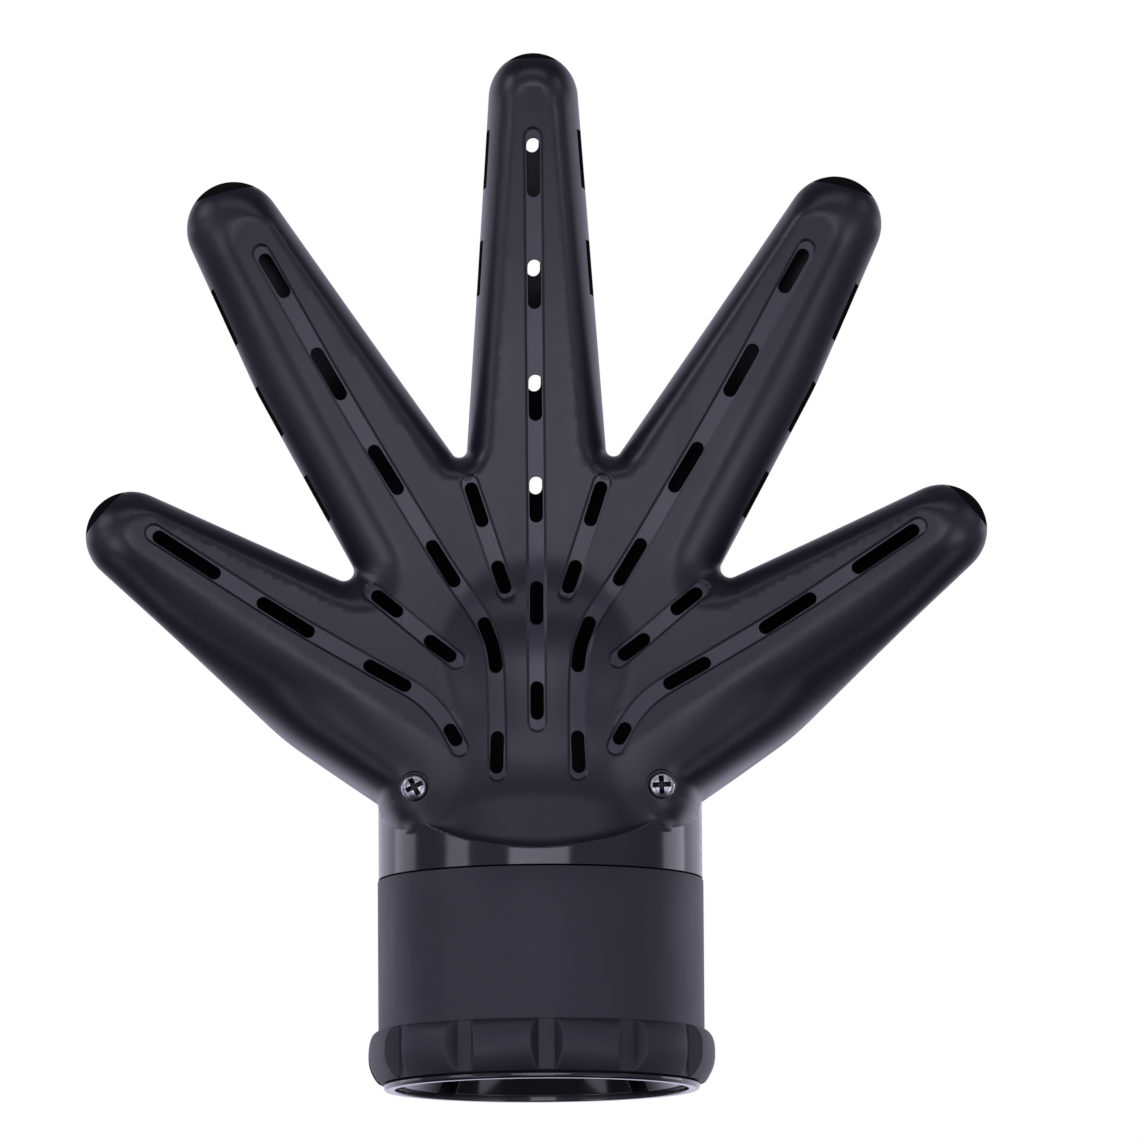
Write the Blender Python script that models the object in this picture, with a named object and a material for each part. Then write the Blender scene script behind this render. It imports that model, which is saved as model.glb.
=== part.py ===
"""Hand-shaped hair-dryer diffuser with a rotating clamp collar.

Frame: origin at the bottom centre of the mouth, +Z up along the collar axis, the palm faces -Y, X to the side.
All design dimensions below are in millimetres and become metres when a mesh is made.
"""
import bpy
import bmesh
import numpy as np
from math import pi, sin, cos, tan, radians, degrees, sqrt, asin, atan2, ceil
from mathutils import Vector
from mathutils.geometry import delaunay_2d_cdt

for ob in list(bpy.data.objects):
    bpy.data.objects.remove(ob, do_unlink=True)

MM = 0.001
GAP = 0.3                      # clearance between touching pieces

# ---- neck and shells
R_NECK = 34.2                  # outer radius of the neck
Z_NECK = 44.6                  # bottom edge of the shells
WALL = 1.9                     # shell wall
SCREW_X, SCREW_Z = 25.9, 61.9
SCREW_HOLE_R = 1.75
SCREW_PAD_R = 3.25             # counterbore radius
SCREW_SINK = 1.3               # counterbore depth

# ---- hand outline: circles joined by tangent lines, (x, z, radius, side), side +1 round outside, -1 web
HAND = [(0, 207.2, 9.4, 1), (16.3, 134.1, 1.65, -1), (63.0, 179.9, 10.05, 1), (22.8, 163.7, 40, 1),
        (40.7, 108.5, 2.1, -1), (84.9, 115.2, 9.7, 1), (16.7, 121.2, 60, 1), (34.2, 60.7, 0, 1)]
NECK_CORNERS = [(34.2, 44.6, 0, 1), (0, 44.6, 0, 1)]
LOBES = [(24.9, 60.9, 9.2, 1), (0, 104, 60, 1)]
# ---- flat palm plateau, drawn the same way
PLATEAU = [(0, 204.9, 4.2, 1), (16.3, 134.1, 7.0, -1), (59.0, 177.0, 4.4, 1), (36.5, 107.5, 8.5, -1),
           (81.0, 115.0, 4.15, 1), (24.5, 61.5, 9.8, -1), (16.5, 52.6, 1.0, 1), (0, 108.3, 60, 1)]
# ---- cupping of the palm: depth at its lowest point, its centre height, rise at the reach
CUP_Y, CUP_Z, CUP_RISE, CUP_REACH = -24.0, 105.0, 14.0, 112.0
RIM_H = 9.0                    # plateau to parting line along the fingers
# ---- back of the hand: thickness over the fingertips and extra over the wrist
BACK_T, BACK_EXTRA, BACK_SPREAD = 17.0, 44.0, 62.0

# ---- fingertip cuts: centre x, z, radius, direction of the cut's normal in degrees, sagitta
TIP_CUTS = [(0, 207.2, 9.4, 90, 1.8), (63.0, 179.9, 10.05, 75, 2.6), (84.9, 115.2, 9.7, 42, 2.3)]
# ---- side vents at the parting line: point beside the outline, length
SIDE_VENTS = [(9.5, 194.3, 12.1), (12.0, 171.9, 11.5), (65.2, 161.7, 12.4), (56.3, 141.9, 11.5), (47.2, 123.1, 10.7)]
VENT_DEPTH = 0.75

# ---- air slots: x, z of the centre, length, angle from +X
SLOT_W = 2.85
SLOTS_MID = [(0, 191.8, 12.4), (0, 167.6, 10.5), (0, 143.9, 9.9), (0, 122.5, 9.9), (0, 100.3, 9.7), (0, 79.5, 8.1)]
SLOTS_SIDE = [
    (54.5, 169.3, 10.3, 59.5), (43.3, 148.9, 12.4, 60), (31.5, 128.8, 12.0, 58.5), (19.6, 109.0, 11.4, 58.5),
    (9.3, 91.4, 10.8, 72), (8.5, 68.8, 9.0, 92),
    (73.2, 110.6, 16.5, 33), (52.6, 97.6, 13.9, 32), (31.4, 85.3, 11.2, 29.5), (17.7, 72.7, 5.2, 60),
    (31.4, 100.6, 8.0, 39), (20.3, 91.0, 8.0, 38), (12.5, 121.4, 9.9, 72), (7.4, 106.0, 7.5, 71.5)]
BACK_SLOTS_MID = [(-0.5, 201.2, 8.0), (-0.5, 175.6, 8.0), (-0.6, 152.0, 8.0), (-0.6, 131.2, 8.0)]
BACK_SLOTS_SIDE = [(48.9, 161.0, 6.4, 60), (37.4, 140.8, 6.4, 59), (63.0, 104.5, 6.4, 32.5), (42.0, 92.8, 6.4, 31)]

# ---- collar
COLLAR_TOP, COLLAR_BOTTOM = 44.3, 1.5
R_COLLAR, R_COLLAR_IN = 34.4, 32.6
LOBE_COUNT, VALLEY_PHASE = 12, 2.7          # twelve grip lobes parted by narrow valleys
VALLEY_FLOOR_DEG, VALLEY_CREST_DEG, R_VALLEY = 2.8, 5.3, 34.1
R_BELLY, BELLY_Z, BELLY_TOP, R_BELLY_FOOT = 36.65, 7.0, 12.4, 33.0
# ---- clamp
JAW_HALF_DEG = 40.0
JAW_TRAVEL = 2.4
COLLAR_TURN_DEG = 60.0
R_AIR = 22.6                   # bore of the carrier's air tube
R_TUBE = 24.2                  # outside of the air tube
R_JAW = 24.5                   # gripping face of the open jaw
R_PIN = 29.4                   # follower pin centre, open


# =====================================================================  2D sketch helpers (millimetres)
def belt(circles, step_mm, step_deg, x0=0.0):
    """Half outline, clockwise from the first circle's top to the last point; arcs and tangent lines."""
    pts = [(circles[0][0], circles[0][1] + circles[0][2])]
    prev_ang = pi / 2          # angle on the current circle, from its centre

    def arc(c, a0, a1):
        x, z, r, s = c
        if r < 1e-6:
            return []
        d = a1 - a0
        if s > 0:
            while d > 1e-9:
                d -= 2 * pi
            while d < -2 * pi:
                d += 2 * pi
        else:
            while d < -1e-9:
                d += 2 * pi
            while d > 2 * pi:
                d -= 2 * pi
        if abs(d) > 1.95 * pi:
            d = 0.0
        n = max(1, int(ceil(abs(degrees(d)) / step_deg)), int(ceil(abs(d) * r / step_mm)))
        return [(x + r * cos(a0 + d * k / n), z + r * sin(a0 + d * k / n)) for k in range(1, n + 1)]

    for i in range(len(circles) - 1):
        xi, zi, ri, si = circles[i]
        xj, zj, rj, sj = circles[i + 1]
        dx, dz = xj - xi, zj - zi
        L = sqrt(dx * dx + dz * dz)
        th = atan2(dz, dx) + asin(max(-1.0, min(1.0, (sj * rj - si * ri) / L)))
        nx, nz = sin(th), -cos(th)
        p0 = (xi - si * ri * nx, zi - si * ri * nz)
        p1 = (xj - sj * rj * nx, zj - sj * rj * nz)
        a_out = atan2(p0[1] - zi, p0[0] - xi) if ri > 1e-6 else 0.0
        pts += arc(circles[i], prev_ang, a_out)
        if ri < 1e-6:
            pts.append(p0) if (abs(pts[-1][0] - p0[0]) + abs(pts[-1][1] - p0[1])) > 1e-6 else None
        n = max(1, int(ceil(sqrt((p1[0] - p0[0]) ** 2 + (p1[1] - p0[1]) ** 2) / step_mm)))
        pts += [(p0[0] + (p1[0] - p0[0]) * k / n, p0[1] + (p1[1] - p0[1]) * k / n) for k in range(1, n + 1)]
        prev_ang = atan2(p1[1] - zj, p1[0] - xj) if rj > 1e-6 else 0.0
    last = circles[-1]
    if last[2] > 1e-6:
        pts += arc(last, prev_ang, -pi / 2)
    out = [pts[0]]
    for p in pts[1:]:
        if abs(p[0] - out[-1][0]) + abs(p[1] - out[-1][1]) > 1e-4:
            out.append(p)
    return out


def mirrored(half):
    """Close a half outline (x >= 0, clockwise from the top) into a whole clockwise polygon."""
    left = [(-x, z) for x, z in reversed(half) if x > 1e-6]
    return np.array(half + left)


def stadium(x, z, length, width, deg, n_end=3):
    a, r, h = radians(deg), width / 2, max(0.0, length / 2 - width / 2)
    pts = []
    for side in (0, 1):
        for k in range(n_end + 1):
            t = -pi / 2 + pi * k / n_end + pi * side
            cx = h if side == 0 else -h
            pts.append((cx + r * cos(t), r * sin(t)))
    return [(x + p[0] * cos(a) - p[1] * sin(a), z + p[0] * sin(a) + p[1] * cos(a)) for p in pts]


def ring_pts(x, z, r, n):
    return [(x + r * cos(2 * pi * k / n), z + r * sin(2 * pi * k / n)) for k in range(n)]


def poly_dist(P, poly):
    """Unsigned distance from points P (n,2) to a closed polygon."""
    A = poly
    B = np.roll(poly, -1, axis=0)
    best = np.full(len(P), 1e9)
    AB = B - A
    L2 = np.maximum((AB ** 2).sum(1), 1e-12)
    for s in range(0, len(P), 4000):
        q = P[s:s + 4000, None, :] - A[None]
        t = np.clip((q * AB[None]).sum(2) / L2[None], 0, 1)
        d = q - t[..., None] * AB[None]
        best[s:s + 4000] = np.sqrt((d ** 2).sum(2)).min(1)
    return best


def inside(P, poly):
    A = poly
    B = np.roll(poly, -1, axis=0)
    res = np.zeros(len(P), bool)
    for s in range(0, len(P), 4000):
        x = P[s:s + 4000, 0][:, None]
        z = P[s:s + 4000, 1][:, None]
        cond = (A[None, :, 1] > z) != (B[None, :, 1] > z)
        dz = np.where(np.abs(B[:, 1] - A[:, 1]) < 1e-12, 1e-12, B[:, 1] - A[:, 1])
        xi = A[None, :, 0] + (z - A[None, :, 1]) * ((B[:, 0] - A[:, 0]) / dz)[None]
        res[s:s + 4000] = ((cond & (x < xi)).sum(1) % 2) == 1
    return res


def smooth(t):
    t = np.clip(t, 0, 1)
    return t * t * (3 - 2 * t)


# =====================================================================  the hand's surfaces
FINE = (4.0, 12.0)
OUT_FULL = mirrored(belt(HAND + NECK_CORNERS, *FINE))
OUT_HAND = mirrored(belt(HAND + LOBES, *FINE))
PLAT = mirrored(belt(PLATEAU, *FINE))


def y_plateau(x, z):
    return CUP_Y - CUP_RISE * (x ** 2 + (z - CUP_Z) ** 2) / CUP_REACH ** 2


def y_part(x, z):
    return smooth((z - 58.0) / 42.0) * (y_plateau(x, z) + RIM_H)


def smax(a, b, k):
    h = np.clip(0.5 + 0.5 * (a - b) / k, 0, 1)
    return b + (a - b) * h + k * h * (1 - h)


def smin(a, b, k):
    return -smax(-a, -b, k)


def neck_h(x, z):
    """The round neck; above its band the front leans back, a quick lip and then a long slope up to the palm."""
    neck = np.sqrt(np.maximum(R_NECK ** 2 - x ** 2, 0.0))
    u = z - 48.2 - (R_NECK - neck) / 1.6
    lean = np.where(u > 0, 0.42 * u + 0.9 * (1 - np.exp(-np.maximum(u, 0.0) / 0.7)), 1.6 * u)
    return np.maximum(smin(neck, neck - lean, 0.3), 0.0)


def front_h(P):
    """Height of the palm side in front of the parting surface."""
    x, z = P[:, 0], P[:, 1]
    yp = y_part(x, z)
    d_out = poly_dist(P, OUT_HAND)
    d_out = np.where(inside(P, OUT_HAND), d_out, 0.0)
    d_in = poly_dist(P, PLAT)
    d_in = np.where(inside(P, PLAT), 0.0, d_in)
    t = d_out / np.maximum(d_out + d_in, 1e-6)
    n = 1.7 + 1.8 * (1 - smooth((z - 62) / 22))
    prof = 0.88 * (1 - (1 - t) ** n) ** (1 / n) + 0.12 * t
    h_hand = (yp - y_plateau(x, z)) * prof
    h_neck = neck_h(x, z)
    soft = 0.8 + 1.4 * (1 - smooth((np.abs(x) - 11.0) / 8.0))
    return np.maximum(smax(h_hand, h_neck, soft), 0.0) * (d_out + h_neck > 0)


def back_h(P):
    """Height of the back of the hand behind the parting surface."""
    x, z = P[:, 0], P[:, 1]
    yp = y_part(x, z)
    d = np.where(inside(P, OUT_FULL), poly_dist(P, OUT_FULL), 0.0)
    rho = np.sqrt((z - 60) ** 2 + (0.9 * x) ** 2)
    depth = y_plateau(x, z) + BACK_T + BACK_EXTRA * np.exp(-(rho / BACK_SPREAD) ** 2) - yp
    w = 9.8 + 22.0 * np.exp(-(rho / 45.0) ** 2)
    t = np.clip(d / w, 0, 1)
    h_hand = depth * np.sqrt(np.maximum(1 - (1 - t) ** 2, 0))
    neck = np.sqrt(np.maximum(R_NECK ** 2 - x ** 2, 0.0))
    s = smooth((z - 50) / 34)
    return h_hand * s + neck * (1 - s)


STENCIL = [(0, 0)] + [(0.55 * cos(a), 0.55 * sin(a)) for a in np.arange(6) * pi / 3] \
    + [(0.96 * cos(a), 0.96 * sin(a)) for a in (np.arange(8) * pi / 4 + 0.2)]


def inner_h(P, hfun, wall):
    """Height of the inner face: the outer face eroded by a ball of the wall's radius."""
    best = np.full(len(P), 1e9)
    for ox, oz in STENCIL:
        Q = P + wall * np.array([ox, oz])
        best = np.minimum(best, hfun(Q) - wall * sqrt(max(0.0, 1 - ox * ox - oz * oz)))
    return np.maximum(best, 0.0)


def outward_normals(poly):
    nxt, prv = np.roll(poly, -1, axis=0), np.roll(poly, 1, axis=0)
    e0, e1 = poly - prv, nxt - poly
    e0 = e0 / np.maximum(np.linalg.norm(e0, axis=1)[:, None], 1e-9)
    e1 = e1 / np.maximum(np.linalg.norm(e1, axis=1)[:, None], 1e-9)
    t = e0 + e1
    t /= np.maximum(np.linalg.norm(t, axis=1)[:, None], 1e-9)
    return np.stack([-t[:, 1], t[:, 0]], axis=1)      # left of a clockwise path is outside


def clip_tips(poly):
    """Cut the fingertips of the palm shell straight across."""
    pts = [tuple(p) for p in poly]
    for cx, cz, r, deg, sag in TIP_CUTS:
        for sx in ((1,) if cx == 0 else (1, -1)):
            n = (sx * cos(radians(deg)), sin(radians(deg)))
            off = n[0] * sx * cx + n[1] * cz + r - sag
            out = []
            for i, p in enumerate(pts):
                q = pts[(i + 1) % len(pts)]
                dp, dq = n[0] * p[0] + n[1] * p[1] - off, n[0] * q[0] + n[1] * q[1] - off
                near = sqrt((p[0] - sx * cx) ** 2 + (p[1] - cz) ** 2) < r + 6
                if not near or dp <= 0:
                    out.append(p)
                if near and (dp <= 0) != (dq <= 0) and abs(dp - dq) > 1e-9:
                    f = dp / (dp - dq)
                    if 0.02 < f < 0.98:
                        out.append((p[0] + (q[0] - p[0]) * f, p[1] + (q[1] - p[1]) * f))
            pts = out
    return np.array(pts)


def notch(poly, mids):
    """Shallow side vents: the outline steps inward over each vent's length."""
    n = len(poly)
    seg = np.linalg.norm(np.roll(poly, -1, axis=0) - poly, axis=1)
    s = np.concatenate([[0], np.cumsum(seg)])
    nrm = outward_normals(poly)

    def at(u):
        u = u % s[-1]
        i = min(int(np.searchsorted(s, u, side='right')) - 1, n - 1)
        f = (u - s[i]) / max(seg[i], 1e-9)
        j = (i + 1) % n
        m = nrm[i] * (1 - f) + nrm[j] * f
        return poly[i] * (1 - f) + poly[j] * f, m / np.linalg.norm(m)

    cuts = []
    for mx, mz, L in mids:
        for sx in (1, -1):
            q = np.array([sx * mx, mz])
            i = int(np.argmin([np.linalg.norm(at(u)[0] - q) for u in np.linspace(0, s[-1], 1500, endpoint=False)]))
            u = s[-1] * i / 1500
            cuts.append((u - L / 2, u + L / 2))
    cuts.sort()
    out = []
    for i in range(n):
        if not any(a - 0.25 < s[i] < b + 0.25 for a, b in cuts):
            out.append((s[i], 0, tuple(poly[i])))
    for a, b in cuts:
        k = max(2, int(round((b - a) / 4)))
        for q in range(k + 1):
            u = a + (b - a) * q / k
            p, m = at(u)
            if q == 0:
                out.append((u, 0, tuple(p)))
            out.append((u, 1 if q == 0 else (0 if q == k else 1), tuple(p - m * VENT_DEPTH)))
            if q == k:
                out.append((u, 1, tuple(p)))
    out.sort(key=lambda e: (e[0], e[1]))
    return np.array([e[2] for e in out])


# =====================================================================  meshing
def material(name, rgb, rough, metal=0.0):
    m = bpy.data.materials.new(name)
    m.use_nodes = True
    b = m.node_tree.nodes["Principled BSDF"]
    b.inputs["Base Color"].default_value = (*rgb, 1)
    b.inputs["Roughness"].default_value = rough
    b.inputs["Metallic"].default_value = metal
    return m


MAT_SHELL = material("shell_plastic", (0.022, 0.021, 0.028), 0.32)
MAT_COLLAR = material("collar_plastic", (0.030, 0.029, 0.038), 0.5)
MAT_GLOSS = material("gloss_plastic", (0.02, 0.019, 0.025), 0.15)
MAT_STEEL = material("zinc_steel", (0.72, 0.72, 0.74), 0.25, 1.0)
MAT_RUBBER = material("rubber", (0.015, 0.015, 0.016), 0.8)
MAT_FIBRE = material("fibre", (0.5, 0.47, 0.4), 0.8)


def add_object(name, verts, faces, mat, smooth_deg=35):
    me = bpy.data.meshes.new(name)
    me.from_pydata([tuple(c * MM for c in v) for v in verts], [], faces)
    me.validate()
    bm = bmesh.new()
    bm.from_mesh(me)
    bmesh.ops.remove_doubles(bm, verts=bm.verts, dist=1e-6)
    bmesh.ops.dissolve_degenerate(bm, edges=bm.edges, dist=1e-7)
    bmesh.ops.recalc_face_normals(bm, faces=bm.faces)
    bm.to_mesh(me)
    bm.free()
    ob = bpy.data.objects.new(name, me)
    bpy.context.scene.collection.objects.link(ob)
    me.materials.append(mat)
    me.shade_smooth()
    me.set_sharp_from_angle(angle=radians(smooth_deg))
    return ob


def triangulate(outline, holes, lines, points, keep_out=0.5):
    """Constrained triangles of a region with holes; lines are closed crease polygons inside it."""
    P, E = [], []

    def add_loop(loop):
        base = len(P)
        P.extend([tuple(p) for p in loop])
        m = len(loop)
        E.extend([(base + k, base + (k + 1) % m) for k in range(m)])

    add_loop(outline)
    for h in holes:
        add_loop(h)
    for ln in lines:
        add_loop(ln)
    for p in points:
        P.append(tuple(p))
    res = delaunay_2d_cdt([Vector(p) for p in P], E, [], 0, 1e-4)
    V = np.array([(v[0], v[1]) for v in res[0]])
    F = np.array([list(f) for f in res[2] if len(f) == 3])
    cen = V[F].mean(1)
    ok = inside(cen, np.array(outline))
    for h in holes:
        ok &= ~inside(cen, np.array(h))
    a, b, c = V[F[:, 0]], V[F[:, 1]], V[F[:, 2]]
    area = 0.5 * ((b[:, 0] - a[:, 0]) * (c[:, 1] - a[:, 1]) - (b[:, 1] - a[:, 1]) * (c[:, 0] - a[:, 0]))
    flip = area < 0
    F[flip] = F[flip][:, ::-1]
    F = F[ok & (np.abs(area) > 1e-5)]
    return V, F


def fill_points(outline, holes, rings, grid, clear, extra_lines=()):
    """Points for the surface: rows parallel to the outline, then a staggered grid."""
    loops = [np.array(outline)] + [np.array(h) for h in holes] + [np.array(e) for e in extra_lines]
    pts = []
    full = np.array(outline)
    nrm = outward_normals(full)
    base = full
    for d, every in rings:
        q = (base - nrm * d)[::every]
        keep = inside(q, full) & (poly_dist(q, full) > d * 0.9)
        for lp in loops[1:]:
            keep &= poly_dist(q, lp) > clear
        pts.append(q[keep])
    last = rings[-1][0] if rings else 0
    x0, z0 = full.min(0)
    x1, z1 = full.max(0)
    row, gz = 0, z0
    g = []
    while gz < z1:
        gx = -((x1 - x0) // grid + 2) * grid + (0.5 * grid if row % 2 else 0)
        while gx < x1:
            g.append((gx, gz))
            gx += grid
        gz += grid * 0.866
        row += 1
    g = np.array(g)
    keep = inside(g, full)
    keep &= poly_dist(g, full) > last + grid * 0.45
    for lp in loops[1:]:
        keep &= poly_dist(g, lp) > max(clear, grid * 0.35)
    for h in holes:
        keep &= ~inside(g, np.array(h))
    pts.append(g[keep])
    return np.concatenate(pts)


def shell_object(name, outline, full_outline, holes, lines, points, hfun, sign, wall, mat, sinks=()):
    """Closed thin shell between an outer height field and its eroded inner face. sign -1 palm, +1 back.
    sinks are flat counterbores: x, z, radius and the depth y of the floor."""
    V, F = triangulate(outline, holes, lines, points)
    h_out = hfun(V)
    for cx, cz, r, floor in sinks:
        m = (V[:, 0] - cx) ** 2 + (V[:, 1] - cz) ** 2 < (r - 0.02) ** 2
        flat = y_part(V[:, 0], V[:, 1]) - GAP / 2 - floor
        h_out = np.where(m, np.minimum(h_out, flat), h_out)
    d = poly_dist(V, full_outline)
    nearest = np.argmin(((V[:, None, :] - full_outline[None]) ** 2).sum(2), axis=1)
    nrm = outward_normals(full_outline)[nearest]
    shift = wall * np.clip(1 - d / 5.0, 0, 1)
    edge = V[:, 1] < Z_NECK + 0.6
    nrm = np.where(edge[:, None], np.stack([np.sign(V[:, 0]), 0 * V[:, 0]], 1), nrm)
    dx = np.abs(R_NECK - np.abs(V[:, 0]))
    shift = np.where(edge, wall * np.clip(1 - dx / 5.0, 0, 1), shift)
    W = V - nrm * shift[:, None]
    h_in = inner_h(W, hfun, wall)
    h_in = np.where((d < 0.05) & ~(edge & (dx > 0.05)), 0.0, h_in)
    lip = (edge & (dx < 0.05))
    h_in = np.where(lip, 0.0, h_in)
    h_out = np.where(d < 0.02, np.where(edge & (dx > 0.05), h_out, 0.0), h_out)
    h_in = np.minimum(h_in, np.maximum(h_out - 0.6, 0.0))
    off = sign * GAP / 2
    yo = y_part(V[:, 0], V[:, 1]) + off + sign * h_out
    yi = y_part(W[:, 0], W[:, 1]) + off + sign * h_in
    n = len(V)
    verts = [(V[i, 0], yo[i], V[i, 1]) for i in range(n)] + [(W[i, 0], yi[i], W[i, 1]) for i in range(n)]
    used = {}
    faces = []
    for a, b, c in F:
        a, b, c = int(a), int(b), int(c)
        faces.append((a, b, c) if sign < 0 else (c, b, a))
        faces.append((n + c, n + b, n + a) if sign < 0 else (n + a, n + b, n + c))
        for e in ((a, b), (b, c), (c, a)):
            used[e] = used.get(e, 0) + 1
    for (a, b) in used:
        if (b, a) not in used:
            if sign < 0:
                faces.append((b, a, n + a))
                faces.append((b, n + a, n + b))
            else:
                faces.append((a, b, n + b))
                faces.append((a, n + b, n + a))
    keep = sorted({i for f in faces for i in f})
    remap = {o: k for k, o in enumerate(keep)}
    return add_object(name, [verts[i] for i in keep], [tuple(remap[i] for i in f) for f in faces], mat)


def revolve(name, profile, mat, segs=48, a0=0.0, a1=360.0, smooth_deg=35):
    """Turn a closed (r, z) profile about Z; a part turn gets flat ends."""
    whole = abs(a1 - a0) > 359.9
    n = len(profile)
    steps = segs if whole else segs + 1
    verts = []
    for k in range(steps):
        a = radians(a0 + (a1 - a0) * k / segs)
        verts += [(r * cos(a), r * sin(a), z) for r, z in profile]
    faces = []
    for k in range(segs):
        b0, b1 = k * n, ((k + 1) % steps) * n
        for i in range(n):
            j = (i + 1) % n
            faces.append((b0 + i, b1 + i, b1 + j, b0 + j))
    if not whole:
        faces.append(tuple(range(n)))
        faces.append(tuple(reversed(range((steps - 1) * n, steps * n))))
    return add_object(name, verts, faces, mat, smooth_deg)


def prism(name, loop, z0, z1, mat):
    n = len(loop)
    verts = [(x, y, z0) for x, y in loop] + [(x, y, z1) for x, y in loop]
    faces = [tuple(reversed(range(n))), tuple(range(n, 2 * n))]
    faces += [(k, (k + 1) % n, n + (k + 1) % n, n + k) for k in range(n)]
    return add_object(name, verts, faces, mat)


def as_cutter(ob):
    ob.hide_render = True
    ob.display_type = 'WIRE'
    return ob


def boolean(ob, tool, op):
    m = ob.modifiers.new(op.lower() + "_" + tool.name, 'BOOLEAN')
    m.operation = op
    m.solver = 'EXACT'
    m.object = tool
    as_cutter(tool)


# =====================================================================  shells
CAD = (9.0, 30.0)


def resample_belt(circles):
    return mirrored(belt(circles, *CAD))


full_cad = resample_belt(HAND + NECK_CORNERS)
# extra points across the neck's bottom edge so that the half round stays round
edge_x = [R_NECK * cos(radians(a)) for a in range(15, 180, 15)]
keep = [tuple(p) for p in full_cad if not (abs(p[1] - Z_NECK) < 1e-6 and abs(p[0]) < R_NECK - 0.01)]
at = next(i for i, p in enumerate(keep) if abs(p[1] - Z_NECK) < 1e-6 and p[0] > 0)
full_cad = np.array(keep[:at + 1] + [(x, Z_NECK) for x in edge_x] + keep[at + 1:])

front_outline = notch(clip_tips(full_cad), SIDE_VENTS)
holes = [stadium(x, z, L, SLOT_W, 90, 2) for x, z, L in SLOTS_MID]
for x, z, L, a in SLOTS_SIDE:
    holes.append(stadium(x, z, L, SLOT_W, a, 2))
    holes.append(stadium(-x, z, L, SLOT_W, 180 - a, 2))
pads, sinks = [], []
for sx in (1, -1):
    holes.append(ring_pts(sx * SCREW_X, SCREW_Z, SCREW_HOLE_R, 10))
    floor = float(y_part(np.array([SCREW_X]), np.array([SCREW_Z]))[0]) - GAP / 2 \
        - float(front_h(np.array([[SCREW_X, SCREW_Z]]))[0]) + SCREW_SINK
    sinks.append((sx * SCREW_X, SCREW_Z, SCREW_PAD_R + 0.1, floor))
    pads.append(ring_pts(sx * SCREW_X, SCREW_Z, SCREW_PAD_R, 12))
    pads.append(ring_pts(sx * SCREW_X, SCREW_Z, SCREW_PAD_R + 0.25, 12))
plat_cad = [p for p in mirrored(belt(PLATEAU, 9.0, 36.0)) if p[1] > 56]
neck_rows = np.array([(R_NECK * cos(radians(a)), z) for a in range(15, 180, 15) for z in (47.0, 49.6, 52.4)])
SCREW_FLOOR_Y = sinks[0][3]

pts = fill_points(front_outline, holes, [(0.9, 1), (3.2, 1)], 8.5, 1.6, pads)
pts = pts[(pts[:, 1] > 54) & (np.hypot(np.abs(pts[:, 0]) - SCREW_X, pts[:, 1] - SCREW_Z) > SCREW_PAD_R + 0.9)]
ok = np.ones(len(plat_cad), bool)
pp = np.array(plat_cad)
for h in holes + pads:
    ok &= poly_dist(pp, np.array(h)) > 1.2
pts = np.concatenate([pts, pp[ok], neck_rows])
front = shell_object("front_shell", front_outline, full_cad, holes, pads, pts, front_h, -1, WALL, MAT_SHELL, sinks)

back_holes = [stadium(x, z, L, SLOT_W, 90, 2) for x, z, L in BACK_SLOTS_MID]
for x, z, L, a in BACK_SLOTS_SIDE:
    back_holes.append(stadium(x, z, L, SLOT_W, a, 2))
    back_holes.append(stadium(-x, z, L, SLOT_W, 180 - a, 2))
bpts = fill_points(full_cad, back_holes, [(1.0, 1), (3.6, 1)], 8.5, 1.6)
bpts = bpts[bpts[:, 1] > 54]
bpts = np.concatenate([bpts, neck_rows])
rear = shell_object("rear_shell", full_cad, full_cad, back_holes, [], bpts, back_h, 1, WALL, MAT_SHELL)

# two screw posts moulded to the back shell, each with a blind hole for its screw
POST_R, POST_HOLE_R, POST_HOLE_L = 3.4, 1.7, 13.0
for side, sx in (("right", 1), ("left", -1)):
    y_front = SCREW_FLOOR_Y + WALL + 1.2
    y_back = sqrt((R_NECK - WALL / 2) ** 2 - SCREW_X ** 2) - 0.2
    prof = [(0.0, y_back), (POST_R, y_back), (POST_R, y_front), (POST_HOLE_R, y_front), (POST_HOLE_R, y_front + POST_HOLE_L), (0.0, y_front + POST_HOLE_L)]
    verts, faces, segs = [], [], 12
    rows = prof[1:5]
    for k in range(segs):
        a = 2 * pi * k / segs
        verts += [(sx * SCREW_X + r * cos(a), y, SCREW_Z + r * sin(a)) for r, y in rows]
    for k in range(segs):
        b0, b1 = 4 * k, 4 * ((k + 1) % segs)
        faces += [(b0 + i, b1 + i, b1 + i + 1, b0 + i + 1) for i in range(3)]
    faces.append(tuple(4 * k for k in range(segs)))
    faces.append(tuple(4 * k + 3 for k in reversed(range(segs))))
    post = add_object("post_" + side, verts, faces, MAT_SHELL)
    boolean(rear, post, 'UNION')


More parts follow.
